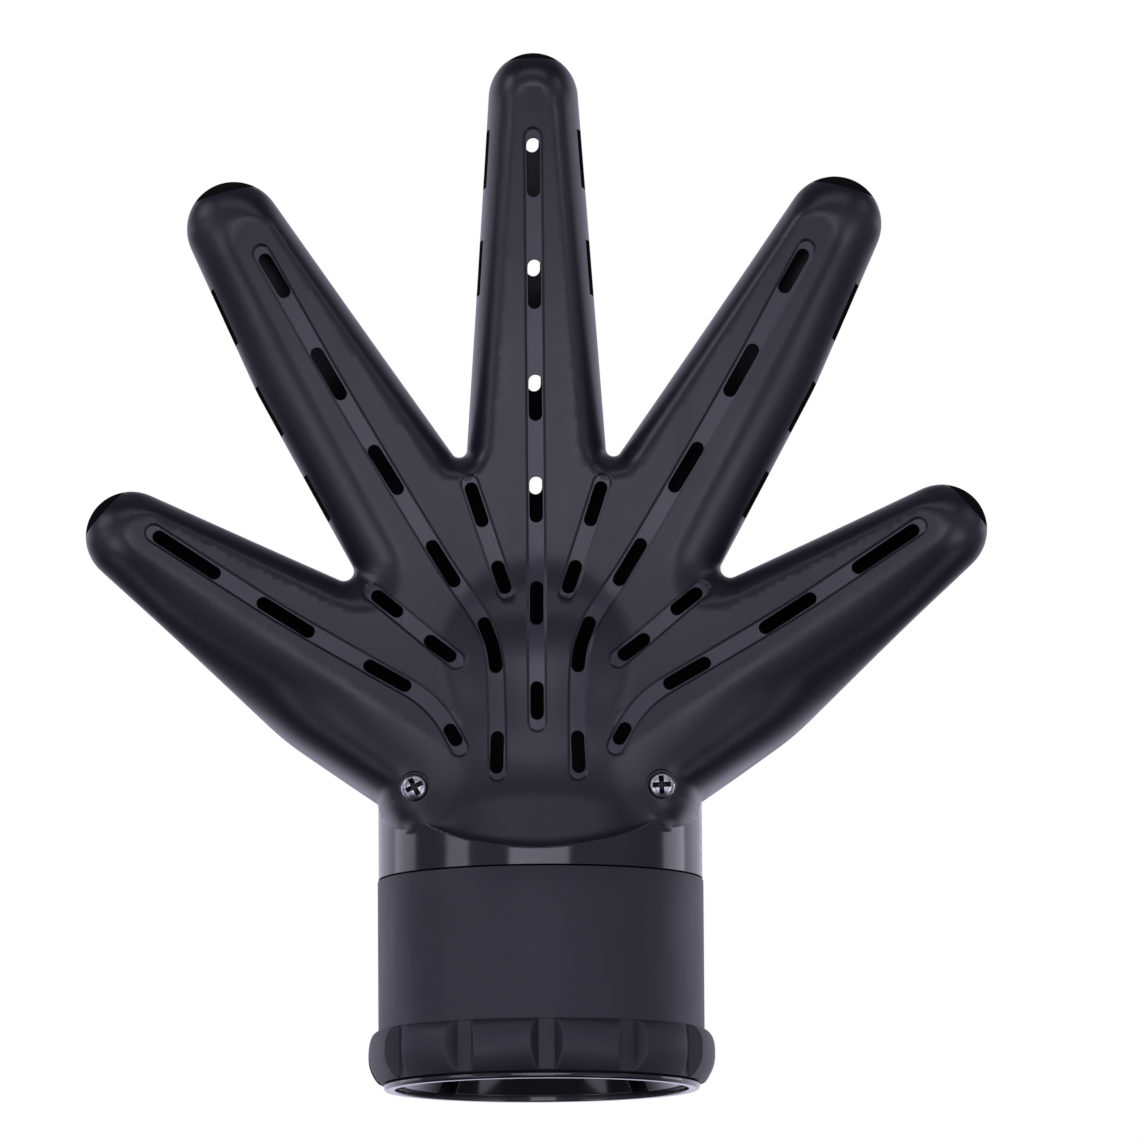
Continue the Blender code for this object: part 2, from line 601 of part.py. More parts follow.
# =====================================================================  screws
def screw(name, cx):
    """Pan head with a cross recess, on a plain shank."""
    y0 = SCREW_FLOOR_Y - 0.3          # under the head
    head_r, head_h, shank_r, shank_l = 2.85, 1.7, 1.35, 11.0
    prof = [(0.0, -head_h), (1.6, -head_h * 0.97), (2.5, -head_h * 0.72), (head_r, -head_h * 0.25), (head_r, 0.0),
            (shank_r, 0.0), (shank_r, shank_l), (0.0, shank_l + 0.8)]
    segs = 16
    verts = [(cx, y0 + prof[0][1], SCREW_Z)]
    for r, y in prof[1:-1]:
        verts += [(cx + r * cos(2 * pi * k / segs), y0 + y, SCREW_Z + r * sin(2 * pi * k / segs)) for k in range(segs)]
    verts.append((cx, y0 + prof[-1][1], SCREW_Z))
    faces = [(0, 1 + k, 1 + (k + 1) % segs) for k in range(segs)]
    for row in range(len(prof) - 3):
        b0, b1 = 1 + row * segs, 1 + (row + 1) * segs
        faces += [(b0 + k, b1 + k, b1 + (k + 1) % segs, b0 + (k + 1) % segs) for k in range(segs)]
    b = 1 + (len(prof) - 3) * segs
    faces += [(len(verts) - 1, b + (k + 1) % segs, b + k) for k in range(segs)]
    ob = add_object(name, verts, faces, MAT_STEEL)
    for k in range(2):
        a = radians(20 + 90 * k)
        loop = [(1.55, 0.3), (1.55, -0.3), (-1.55, -0.3), (-1.55, 0.3)]
        loop = [(cx + p[0] * cos(a) - p[1] * sin(a), SCREW_Z + p[0] * sin(a) + p[1] * cos(a)) for p in loop]
        vs = [(x, y0 - head_h - 0.5, z) for x, z in loop] + [(x, y0 - head_h + 1.0, z) for x, z in loop]
        fs = [(0, 1, 2, 3), (7, 6, 5, 4)] + [(i, 4 + i, 4 + (i + 1) % 4, (i + 1) % 4) for i in range(4)]
        boolean(ob, add_object(name + "_cross_%d" % k, vs, fs, MAT_STEEL), 'DIFFERENCE')


screw("shell_screw_right", SCREW_X)
screw("shell_screw_left", -SCREW_X)


# =====================================================================  collar
def belly(z):
    """Profile of a grip lobe: a quick shoulder at its top, a long round to its foot."""
    if z >= BELLY_TOP:
        return R_COLLAR
    if z >= BELLY_Z:
        u = (z - BELLY_Z) / (BELLY_TOP - BELLY_Z)
        return R_COLLAR + (R_BELLY - R_COLLAR) * (1 - u ** 3) ** 0.625
    u = (BELLY_Z - z) / 6.6
    return R_BELLY_FOOT + (R_BELLY - R_BELLY_FOOT) * max(0.0, 1 - u * u) ** 0.8


def collar_radius(theta_deg, z):
    """Outer radius: plain barrel above, twelve rounded lobes parted by valleys with sloping sides below."""
    pitch = 360.0 / LOBE_COUNT
    off = abs((theta_deg - VALLEY_PHASE - 270.0 + pitch / 2) % pitch - pitch / 2)
    cut = R_VALLEY + max(0.0, (off - VALLEY_FLOOR_DEG) / (VALLEY_CREST_DEG - VALLEY_FLOOR_DEG)) * (R_BELLY - R_VALLEY)
    return belly(z) if z >= BELLY_TOP else min(belly(z), cut)


def collar():
    ang = []
    pitch = 360.0 / LOBE_COUNT
    for i in range(LOBE_COUNT):
        c = 270.0 + VALLEY_PHASE + i * pitch
        ang += [c - VALLEY_FLOOR_DEG, c + VALLEY_FLOOR_DEG, c + VALLEY_CREST_DEG, c + 10.2, c + 15.0, c + 19.8, c + pitch - VALLEY_CREST_DEG]
    zs = [COLLAR_TOP, 14.6, BELLY_TOP, 12.1, 11.2, 9.4, 7.0, 5.0, 3.3, 2.2, COLLAR_BOTTOM]
    verts, n = [], 0
    for a in ang:
        col = [(collar_radius(a, z), z) for z in zs] + [(R_COLLAR_IN, COLLAR_BOTTOM), (R_COLLAR_IN, COLLAR_TOP)]
        n = len(col)
        verts += [(r * cos(radians(a)), r * sin(radians(a)), z) for r, z in col]
    faces = []
    m = len(ang)
    for k in range(m):
        b0, b1 = k * n, ((k + 1) % m) * n
        for i in range(n):
            j = (i + 1) % n
            faces.append((b0 + i, b0 + j, b1 + j, b1 + i))
    return add_object("grip_collar", verts, faces, MAT_COLLAR, 30)


collar()

# glossy closing ring under the collar: it stands on the table, its upstand fits inside the collar
revolve("end_ring", [(31.0, 0.0), (33.0, 0.0), (33.3, 0.35), (33.3, 1.2), (32.3, 1.2), (32.3, 4.0), (31.3, 4.0), (31.0, 3.6)],
        MAT_GLOSS, 48)

# =====================================================================  clamp
DIRS = [("front", 270.0), ("right", 0.0), ("back", 90.0), ("left", 180.0)]
for dname, deg in DIRS:
    c, s = cos(radians(deg)), sin(radians(deg))
    # curved jaw: flared lip at the mouth, gripping band, outward shelf on top
    prof = [(28.9, 1.2), (30.3, 1.2), (30.3, 2.4), (26.3, 9.5), (26.3, 29.7), (31.0, 29.7), (31.0, 32.0), (R_JAW, 32.0), (R_JAW, 9.2)]
    revolve("clamp_jaw_" + dname, prof, MAT_GLOSS, 10, deg - JAW_HALF_DEG, deg + JAW_HALF_DEG)
    revolve("jaw_pad_" + dname, [(23.0, 12.0), (R_JAW - GAP, 12.0), (R_JAW - GAP, 29.0), (23.0, 29.0)], MAT_RUBBER, 8, deg - 34, deg + 34)
    # key that slides in the guide plate, with the follower pin standing on it
    r0, r1, hw = R_PIN - 2.1, R_PIN + 1.5, 2.0
    loop = [(r0, -hw), (r1, -hw), (r1, hw), (r0, hw)]
    key = prism("jaw_slider_" + dname, [(x * c - y * s, x * s + y * c) for x, y in loop], 32.3, 34.1, MAT_STEEL)
    pin = prism("follower_" + dname, [(R_PIN * c + 1.2 * cos(a), R_PIN * s + 1.2 * sin(a)) for a in [2 * pi * k / 12 for k in range(12)]],
                33.6, 37.0, MAT_STEEL)
    boolean(key, pin, 'UNION')

# fixed spool: guide plate with four radial slots, air tube, flange held between the shells
carrier = revolve("jaw_carrier", [(R_AIR, 32.3), (31.9, 32.3), (31.9, 34.3), (R_TUBE, 34.3), (R_TUBE, 45.2), (31.3, 45.2),
                                  (31.3, 46.6), (R_TUBE, 46.6), (R_TUBE, 52.0), (R_AIR, 52.0)], MAT_SHELL, 48)
for dname, deg in DIRS:
    c, s = cos(radians(deg)), sin(radians(deg))
    r0, r1, hw = R_PIN - 2.1 - JAW_TRAVEL - GAP, R_PIN + 1.5 + GAP, 2.0 + GAP
    loop = [(r0, -hw), (r1, -hw), (r1, hw), (r0, hw)]
    boolean(carrier, prism("guide_slot_" + dname, [(x * c - y * s, x * s + y * c) for x, y in loop], 31.0, 34.25 + 0.5, MAT_SHELL),
            'DIFFERENCE')

# disc in the collar with four spiral slots: turning it draws the pins inward
def plate(name, outline, cuts, z0, z1, mat):
    """Flat plate with openings: constrained triangles on both faces and straight walls."""
    V, F = triangulate(outline, cuts, [], [])
    n = len(V)
    verts = [(x, y, z0) for x, y in V] + [(x, y, z1) for x, y in V]
    faces, used = [], set()
    for a, b, c in F:
        a, b, c = int(a), int(b), int(c)
        faces += [(c, b, a), (n + a, n + b, n + c)]
        used |= {(a, b), (b, c), (c, a)}
    faces += [(a, b, n + b, n + a) for a, b in used if (b, a) not in used]
    return add_object(name, verts, faces, mat)


RATE = JAW_TRAVEL / COLLAR_TURN_DEG          # millimetres of jaw travel per degree of collar
slots = []
for dname, deg in DIRS:
    left, right, half, over = [], [], 1.2 + GAP + 0.05, 3.4
    steps = 14
    for k in range(steps + 1):
        turn = -over + (COLLAR_TURN_DEG + 2 * over) * k / steps
        r = R_PIN - RATE * max(0.0, min(COLLAR_TURN_DEG, turn))
        a = radians(deg - turn)              # the slot runs backwards from the pin's rest place
        left.append(((r + half) * cos(a), (r + half) * sin(a)))
        right.append(((r - half) * cos(a), (r - half) * sin(a)))
    slots.append(right + left[::-1])
plate("cam_disc", ring_pts(0, 0, 32.3, 72), [ring_pts(0, 0, 25.0, 60)] + slots, 34.6, 36.7, MAT_COLLAR)

# washer and spring clip above the cam disc
revolve("friction_washer", [(25.0, 37.4), (27.6, 37.4), (27.6, 38.3), (25.0, 38.3)], MAT_FIBRE, 40)
revolve("retaining_ring", [(24.5, 38.6), (27.2, 38.6), (27.2, 39.6), (24.5, 39.6)], MAT_STEEL, 36, 100, 440)
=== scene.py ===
"""Looks of the hand-shaped dryer diffuser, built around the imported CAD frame. Lengths in millimetres unless said."""
from math import pi, sin, cos, tan, radians, degrees, sqrt, asin, atan2, ceil, exp

import bmesh
import bpy
import numpy as np
from mathutils import Matrix, Vector
from mathutils.geometry import delaunay_2d_cdt


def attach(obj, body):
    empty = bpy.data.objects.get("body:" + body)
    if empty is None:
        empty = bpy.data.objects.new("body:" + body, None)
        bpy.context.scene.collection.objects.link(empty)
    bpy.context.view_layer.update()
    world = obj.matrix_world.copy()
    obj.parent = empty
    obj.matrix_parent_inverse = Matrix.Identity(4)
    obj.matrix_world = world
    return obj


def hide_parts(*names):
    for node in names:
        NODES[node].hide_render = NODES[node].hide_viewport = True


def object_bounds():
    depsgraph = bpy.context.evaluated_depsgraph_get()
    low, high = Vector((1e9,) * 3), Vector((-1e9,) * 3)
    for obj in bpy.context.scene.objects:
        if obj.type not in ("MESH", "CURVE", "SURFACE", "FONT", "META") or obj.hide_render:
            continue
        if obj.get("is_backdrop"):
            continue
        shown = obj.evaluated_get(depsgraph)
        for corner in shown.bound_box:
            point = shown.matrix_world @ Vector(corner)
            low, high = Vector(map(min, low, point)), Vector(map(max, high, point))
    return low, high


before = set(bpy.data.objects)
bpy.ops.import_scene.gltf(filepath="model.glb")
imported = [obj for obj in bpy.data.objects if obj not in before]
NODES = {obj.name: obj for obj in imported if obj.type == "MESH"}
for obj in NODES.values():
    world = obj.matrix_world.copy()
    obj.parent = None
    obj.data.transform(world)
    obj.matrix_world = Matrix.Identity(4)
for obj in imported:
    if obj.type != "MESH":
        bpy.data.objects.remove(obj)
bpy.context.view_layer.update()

MM = 0.001
GAP = 0.3

# =====================================================================  dimensions shared with the CAD part
R_NECK, Z_NECK, WALL = 34.2, 44.6, 1.9
SCREW_X, SCREW_Z = 25.9, 61.9
SCREW_HOLE_R, SCREW_PAD_R, SCREW_SINK = 1.75, 3.25, 1.3
HAND = [(0, 207.2, 9.4, 1), (16.3, 134.1, 1.65, -1), (63.0, 179.9, 10.05, 1), (22.8, 163.7, 40, 1),
        (40.7, 108.5, 2.1, -1), (84.9, 115.2, 9.7, 1), (16.7, 121.2, 60, 1), (34.2, 60.7, 0, 1)]
NECK_CORNERS = [(34.2, 44.6, 0, 1), (0, 44.6, 0, 1)]
LOBES = [(24.9, 60.9, 9.2, 1), (0, 104, 60, 1)]
PLATEAU = [(0, 204.9, 4.2, 1), (16.3, 134.1, 7.0, -1), (59.0, 177.0, 4.4, 1), (36.5, 107.5, 8.5, -1),
           (81.0, 115.0, 4.15, 1), (24.5, 61.5, 9.8, -1), (16.5, 52.6, 1.0, 1), (0, 108.3, 60, 1)]
CUP_Y, CUP_Z, CUP_RISE, CUP_REACH = -24.0, 105.0, 14.0, 112.0
RIM_H = 9.0
BACK_T, BACK_EXTRA, BACK_SPREAD = 17.0, 44.0, 62.0
TIP_CUTS = [(0, 207.2, 9.4, 90, 1.8), (63.0, 179.9, 10.05, 75, 2.6), (84.9, 115.2, 9.7, 42, 2.3)]
SIDE_VENTS = [(9.5, 194.3, 12.1), (12.0, 171.9, 11.5), (65.2, 161.7, 12.4), (56.3, 141.9, 11.5), (47.2, 123.1, 10.7)]
VENT_DEPTH = 0.75
SLOT_W = 2.85
SLOTS_MID = [(0, 191.8, 12.4), (0, 167.6, 10.5), (0, 143.9, 9.9), (0, 122.5, 9.9), (0, 100.3, 9.7), (0, 79.5, 8.1)]
SLOTS_SIDE = [
    (54.5, 169.3, 10.3, 59.5), (43.3, 148.9, 12.4, 60), (31.5, 128.8, 12.0, 58.5), (19.6, 109.0, 11.4, 58.5),
    (8.5, 68.8, 9.0, 92),
    (73.2, 110.6, 16.5, 33), (52.6, 97.6, 13.9, 32), (31.4, 85.3, 11.2, 29.5), (17.7, 72.7, 5.2, 60),
    (31.4, 100.6, 8.0, 39), (20.3, 91.0, 8.0, 38), (12.5, 121.4, 9.9, 72), (7.4, 106.0, 7.5, 71.5)]
BENT_SLOT = [(11.0, 96.0), (10.2, 93.8), (9.4, 91.6), (8.9, 89.2), (8.6, 86.8)]
BACK_SLOTS_MID = [(-0.5, 201.2, 8.0), (-0.5, 175.6, 8.0), (-0.6, 152.0, 8.0), (-0.6, 131.2, 8.0)]
BACK_SLOTS_SIDE = [(48.9, 161.0, 6.4, 60), (37.4, 140.8, 6.4, 59), (63.0, 104.5, 6.4, 32.5), (42.0, 92.8, 6.4, 31)]
COLLAR_TOP, COLLAR_BOTTOM = 44.3, 1.5
R_COLLAR, R_COLLAR_IN = 34.4, 32.6
R_JAW = 24.5
JAW_HALF_DEG = 40.0

# shallow channels that the slots sit in (right half; mirrored), as routes on the palm
GROOVES_MID = [[(0, 198.0), (0, 74.9)]]
GROOVES_SIDE = [
    [(57.1, 173.8), (43.3, 149.2), (31.5, 129.0), (19.6, 109.2), (12.6, 98.6), (10.0, 93.3), (8.9, 88.0), (8.5, 80.0), (8.4, 64.6)],
    [(80.0, 115.1), (66.0, 106.1), (52.6, 97.6), (31.4, 85.3), (24.6, 81.2), (20.6, 77.3), (18.2, 73.6), (16.4, 70.0)],
    [(34.6, 103.2), (17.0, 88.4)],
    [(13.9, 125.8), (6.4, 102.9)]]
GROOVE_DEPTH, GROOVE_FLOOR, GROOVE_TOP = 0.45, 1.60, 2.15


# =====================================================================  2D sketch helpers
def belt(circles, step_mm, step_deg):
    """Half outline, clockwise from the first circle's top to the last point; arcs and tangent lines."""
    pts = [(circles[0][0], circles[0][1] + circles[0][2])]
    prev_ang = pi / 2

    def arc(c, a0, a1):
        x, z, r, s = c
        if r < 1e-6:
            return []
        d = a1 - a0
        if s > 0:
            while d > 1e-9:
                d -= 2 * pi
            while d < -2 * pi:
                d += 2 * pi
        else:
            while d < -1e-9:
                d += 2 * pi
            while d > 2 * pi:
                d -= 2 * pi
        if abs(d) > 1.95 * pi:
            d = 0.0
        n = max(1, int(ceil(abs(degrees(d)) / step_deg)), int(ceil(abs(d) * r / step_mm)))
        return [(x + r * cos(a0 + d * k / n), z + r * sin(a0 + d * k / n)) for k in range(1, n + 1)]

    for i in range(len(circles) - 1):
        xi, zi, ri, si = circles[i]
        xj, zj, rj, sj = circles[i + 1]
        dx, dz = xj - xi, zj - zi
        L = sqrt(dx * dx + dz * dz)
        th = atan2(dz, dx) + asin(max(-1.0, min(1.0, (sj * rj - si * ri) / L)))
        nx, nz = sin(th), -cos(th)
        p0 = (xi - si * ri * nx, zi - si * ri * nz)
        p1 = (xj - sj * rj * nx, zj - sj * rj * nz)
        a_out = atan2(p0[1] - zi, p0[0] - xi) if ri > 1e-6 else 0.0
        pts += arc(circles[i], prev_ang, a_out)
        if ri < 1e-6 and (abs(pts[-1][0] - p0[0]) + abs(pts[-1][1] - p0[1])) > 1e-6:
            pts.append(p0)
        n = max(1, int(ceil(sqrt((p1[0] - p0[0]) ** 2 + (p1[1] - p0[1]) ** 2) / step_mm)))
        pts += [(p0[0] + (p1[0] - p0[0]) * k / n, p0[1] + (p1[1] - p0[1]) * k / n) for k in range(1, n + 1)]
        prev_ang = atan2(p1[1] - zj, p1[0] - xj) if rj > 1e-6 else 0.0
    last = circles[-1]
    if last[2] > 1e-6:
        pts += arc(last, prev_ang, -pi / 2)
    out = [pts[0]]
    for p in pts[1:]:
        if abs(p[0] - out[-1][0]) + abs(p[1] - out[-1][1]) > 1e-4:
            out.append(p)
    return out


def mirrored(half):
    left = [(-x, z) for x, z in reversed(half) if x > 1e-6]
    return np.array(half + left)


def stadium(x, z, length, width, deg, n_end=8, step=1.6):
    a, r, h = radians(deg), width / 2, max(0.0, length / 2 - width / 2)
    pts = []
    m = max(1, int(round(2 * h / step)))
    for side in (0, 1):
        cx = h if side == 0 else -h
        for k in range(n_end + 1):
            t = -pi / 2 + pi * k / n_end + pi * side
            pts.append((cx + r * cos(t), r * sin(t)))
        for k in range(1, m):
            pts.append((cx - 2 * cx * k / m, r if side == 0 else -r))
    return [(x + p[0] * cos(a) - p[1] * sin(a), z + p[0] * sin(a) + p[1] * cos(a)) for p in pts]


def curve_through(pts, step):
    """Evenly spaced points of a smooth curve through the given ones."""
    P = [np.array(p, float) for p in pts]
    if len(P) == 2:
        L = np.linalg.norm(P[1] - P[0])
        n = max(1, int(round(L / step)))
        return np.array([P[0] + (P[1] - P[0]) * k / n for k in range(n + 1)])
    Q = [2 * P[0] - P[1]] + P + [2 * P[-1] - P[-2]]
    out = []
    for i in range(1, len(Q) - 2):
        p0, p1, p2, p3 = Q[i - 1:i + 3]
        m1, m2 = (p2 - p0) / 2, (p3 - p1) / 2
        k = np.linalg.norm(p2 - p1)
        m1 = m1 / max(np.linalg.norm(m1), 1e-9) * k
        m2 = m2 / max(np.linalg.norm(m2), 1e-9) * k
        for s in range(20):
            t = s / 20
            out.append((2 * t ** 3 - 3 * t ** 2 + 1) * p1 + (t ** 3 - 2 * t ** 2 + t) * m1 + (-2 * t ** 3 + 3 * t ** 2) * p2 + (t ** 3 - t ** 2) * m2)
    out.append(Q[-2])
    out = np.array(out)
    seg = np.concatenate([[0], np.cumsum(np.linalg.norm(np.diff(out, axis=0), axis=1))])
    n = max(2, int(round(seg[-1] / step)))
    u = np.linspace(0, seg[-1], n + 1)
    return np.stack([np.interp(u, seg, out[:, 0]), np.interp(u, seg, out[:, 1])], 1)


def capsule(path, w, n_end=8):
    """Closed loop at distance w around an open path."""
    t = np.gradient(path, axis=0)
    t /= np.linalg.norm(t, axis=1)[:, None]
    n = np.stack([-t[:, 1], t[:, 0]], 1)
    left, right = path + n * w, path - n * w
    a1 = atan2(n[-1][1], n[-1][0])
    cap1 = [path[-1] + w * np.array([cos(a1 - pi * k / n_end), sin(a1 - pi * k / n_end)]) for k in range(1, n_end)]
    a0 = atan2(-n[0][1], -n[0][0])
    cap0 = [path[0] + w * np.array([cos(a0 - pi * k / n_end), sin(a0 - pi * k / n_end)]) for k in range(1, n_end)]
    return [tuple(p) for p in list(left) + cap1 + list(right[::-1]) + cap0]


def ring_pts(x, z, r, n):
    return [(x + r * cos(2 * pi * k / n), z + r * sin(2 * pi * k / n)) for k in range(n)]


def seg_dist(P, A, B):
    best = np.full(len(P), 1e9)
    AB = B - A
    L2 = np.maximum((AB ** 2).sum(1), 1e-12)
    step = max(200, 1200000 // max(1, len(A)))
    for s in range(0, len(P), step):
        q = P[s:s + step, None, :] - A[None]
        t = np.clip((q * AB[None]).sum(2) / L2[None], 0, 1)
        d = q - t[..., None] * AB[None]
        best[s:s + step] = np.sqrt((d ** 2).sum(2)).min(1)
    return best


def poly_dist(P, poly):
    return seg_dist(P, poly, np.roll(poly, -1, axis=0))


def path_dist(P, path):
    return seg_dist(P, path[:-1], path[1:])


def inside(P, poly):
    A = poly
    B = np.roll(poly, -1, axis=0)
    res = np.zeros(len(P), bool)
    dz = np.where(np.abs(B[:, 1] - A[:, 1]) < 1e-12, 1e-12, B[:, 1] - A[:, 1])
    sl = (B[:, 0] - A[:, 0]) / dz
    for s in range(0, len(P), 4000):
        x = P[s:s + 4000, 0][:, None]
        z = P[s:s + 4000, 1][:, None]
        cond = (A[None, :, 1] > z) != (B[None, :, 1] > z)
        xi = A[None, :, 0] + (z - A[None, :, 1]) * sl[None]
        res[s:s + 4000] = ((cond & (x < xi)).sum(1) % 2) == 1
    return res


def smooth(t):
    t = np.clip(t, 0, 1)
    return t * t * (3 - 2 * t)


# =====================================================================  the hand's surfaces
FIELD = (2.0, 6.0)
OUT_FULL = mirrored(belt(HAND + NECK_CORNERS, *FIELD))
OUT_HAND = mirrored(belt(HAND + LOBES, *FIELD))
PLAT = mirrored(belt(PLATEAU, *FIELD))


def y_plateau(x, z):
    return CUP_Y - CUP_RISE * (x ** 2 + (z - CUP_Z) ** 2) / CUP_REACH ** 2


def y_part(x, z):
    return smooth((z - 58.0) / 42.0) * (y_plateau(x, z) + RIM_H)


def smax(a, b, k):
    h = np.clip(0.5 + 0.5 * (a - b) / k, 0, 1)
    return b + (a - b) * h + k * h * (1 - h)


def smin(a, b, k):
    return -smax(-a, -b, k)


def neck_h(x, z):
    """The round neck; above its band the front leans back, a quick lip and then a long slope up to the palm."""
    neck = np.sqrt(np.maximum(R_NECK ** 2 - x ** 2, 0.0))
    u = z - 48.2 - (R_NECK - neck) / 1.6
    lean = np.where(u > 0, 0.42 * u + 0.9 * (1 - np.exp(-np.maximum(u, 0.0) / 0.7)), 1.6 * u)
    return np.maximum(smin(neck, neck - lean, 0.3), 0.0)


def front_h(P):
    """Height of the palm side in front of the parting surface."""
    x, z = P[:, 0], P[:, 1]
    yp = y_part(x, z)
    d_out = poly_dist(P, OUT_HAND)
    d_out = np.where(inside(P, OUT_HAND), d_out, 0.0)
    d_in = poly_dist(P, PLAT)
    d_in = np.where(inside(P, PLAT), 0.0, d_in)
    t = d_out / np.maximum(d_out + d_in, 1e-6)
    n = 1.7 + 1.8 * (1 - smooth((z - 62) / 22))
    prof = 0.88 * (1 - (1 - t) ** n) ** (1 / n) + 0.12 * t
    h_hand = (yp - y_plateau(x, z)) * prof
    h_neck = neck_h(x, z)
    soft = 0.8 + 1.4 * (1 - smooth((np.abs(x) - 11.0) / 8.0))
    return np.maximum(smax(h_hand, h_neck, soft), 0.0) * (d_out + h_neck > 0)


def back_h(P):
    """Height of the back of the hand behind the parting surface."""
    x, z = P[:, 0], P[:, 1]
    yp = y_part(x, z)
    d = np.where(inside(P, OUT_FULL), poly_dist(P, OUT_FULL), 0.0)
    rho = np.sqrt((z - 60) ** 2 + (0.9 * x) ** 2)
    depth = y_plateau(x, z) + BACK_T + BACK_EXTRA * np.exp(-(rho / BACK_SPREAD) ** 2) - yp
    w = 9.8 + 22.0 * np.exp(-(rho / 45.0) ** 2)
    t = np.clip(d / w, 0, 1)
    h_hand = depth * np.sqrt(np.maximum(1 - (1 - t) ** 2, 0))
    neck = np.sqrt(np.maximum(R_NECK ** 2 - x ** 2, 0.0))
    s = smooth((z - 50) / 34)
    return h_hand * s + neck * (1 - s)


STENCIL = [(0, 0)] + [(0.55 * cos(a), 0.55 * sin(a)) for a in np.arange(6) * pi / 3] \
    + [(0.96 * cos(a), 0.96 * sin(a)) for a in (np.arange(8) * pi / 4 + 0.2)]


class Field:
    """A height function read from a fine table, for the many look-ups of the inner faces."""
    def __init__(self, fun, step=0.8):
        self.x0, self.z0, self.s = -99.0, 40.0, step
        nx, nz = int(198 / step) + 1, int(182 / step) + 1
        X, Z = np.meshgrid(self.x0 + step * np.arange(nx), self.z0 + step * np.arange(nz), indexing='ij')
        P = np.stack([X.ravel(), Z.ravel()], 1)
        near = inside(P, OUT_FULL) | (poly_dist(P[:, :], OUT_FULL[::3]) < 3.0)
        h = np.zeros(len(P))
        h[near] = fun(P[near])
        self.h = h.reshape(nx, nz)

    def __call__(self, P):
        u, v = (P[:, 0] - self.x0) / self.s, (P[:, 1] - self.z0) / self.s
        i = np.clip(u.astype(int), 0, self.h.shape[0] - 2)
        j = np.clip(v.astype(int), 0, self.h.shape[1] - 2)
        a, b = np.clip(u - i, 0, 1), np.clip(v - j, 0, 1)
        H = self.h
        return (H[i, j] * (1 - a) * (1 - b) + H[i + 1, j] * a * (1 - b) + H[i, j + 1] * (1 - a) * b + H[i + 1, j + 1] * a * b)


def inner_h(P, hfun, wall):
    best = np.full(len(P), 1e9)
    for ox, oz in STENCIL:
        Q = P + wall * np.array([ox, oz])
        best = np.minimum(best, hfun(Q) - wall * sqrt(max(0.0, 1 - ox * ox - oz * oz)))
    return np.maximum(best, 0.0)


def outward_normals(poly):
    nxt, prv = np.roll(poly, -1, axis=0), np.roll(poly, 1, axis=0)
    e0, e1 = poly - prv, nxt - poly
    e0 = e0 / np.maximum(np.linalg.norm(e0, axis=1)[:, None], 1e-9)
    e1 = e1 / np.maximum(np.linalg.norm(e1, axis=1)[:, None], 1e-9)
    t = e0 + e1
    t /= np.maximum(np.linalg.norm(t, axis=1)[:, None], 1e-9)
    return np.stack([-t[:, 1], t[:, 0]], axis=1)


def clip_tips(poly):
    """Cut the fingertips of the palm shell straight across."""
    pts = [tuple(p) for p in poly]
    for cx, cz, r, deg, sag in TIP_CUTS:
        for sx in ((1,) if cx == 0 else (1, -1)):
            n = (sx * cos(radians(deg)), sin(radians(deg)))
            off = n[0] * sx * cx + n[1] * cz + r - sag
            out = []
            for i, p in enumerate(pts):
                q = pts[(i + 1) % len(pts)]
                dp, dq = n[0] * p[0] + n[1] * p[1] - off, n[0] * q[0] + n[1] * q[1] - off
                near = sqrt((p[0] - sx * cx) ** 2 + (p[1] - cz) ** 2) < r + 6
                if not near or dp <= 0:
                    out.append(p)
                if near and (dp <= 0) != (dq <= 0) and abs(dp - dq) > 1e-9:
                    f = dp / (dp - dq)
                    if 0.02 < f < 0.98:
                        out.append((p[0] + (q[0] - p[0]) * f, p[1] + (q[1] - p[1]) * f))
            pts = out
    return np.array(pts)


def even(poly, step):
    """Split the long edges of a closed polygon."""
    out = []
    for i, p in enumerate(poly):
        q = poly[(i + 1) % len(poly)]
        n = max(1, int(ceil(np.hypot(q[0] - p[0], q[1] - p[1]) / step)))
        out += [(p[0] + (q[0] - p[0]) * k / n, p[1] + (q[1] - p[1]) * k / n) for k in range(n)]
    return np.array(out)


def notch(poly, mids):
    """Shallow side vents: the outline steps inward over each vent's length."""
    n = len(poly)
    seg = np.linalg.norm(np.roll(poly, -1, axis=0) - poly, axis=1)
    s = np.concatenate([[0], np.cumsum(seg)])
    nrm = outward_normals(poly)

    def at(u):
        u = u % s[-1]
        i = min(int(np.searchsorted(s, u, side='right')) - 1, n - 1)
        f = (u - s[i]) / max(seg[i], 1e-9)
        j = (i + 1) % n
        m = nrm[i] * (1 - f) + nrm[j] * f
        return poly[i] * (1 - f) + poly[j] * f, m / np.linalg.norm(m)

    probe = np.linspace(0, s[-1], 3000, endpoint=False)
    spots = np.array([at(u)[0] for u in probe])
    cuts = []
    for mx, mz, L in mids:
        for sx in (1, -1):
            u = probe[int(np.argmin(np.hypot(spots[:, 0] - sx * mx, spots[:, 1] - mz)))]
            cuts.append((u - L / 2, u + L / 2))
    cuts.sort()
    out = []
    for i in range(n):
        if not any(a - 0.25 < s[i] < b + 0.25 for a, b in cuts):
            out.append((s[i], 0, tuple(poly[i])))
    for a, b in cuts:
        k = max(2, int(round((b - a) / 1.3)))
        for q in range(k + 1):
            u = a + (b - a) * q / k
            p, m = at(u)
            if q == 0:
                out.append((u, 0, tuple(p)))
            out.append((u, 1 if q == 0 else (0 if q == k else 1), tuple(p - m * VENT_DEPTH)))
            if q == k:
                out.append((u, 1, tuple(p)))
    out.sort(key=lambda e: (e[0], e[1]))
    return np.array([e[2] for e in out])


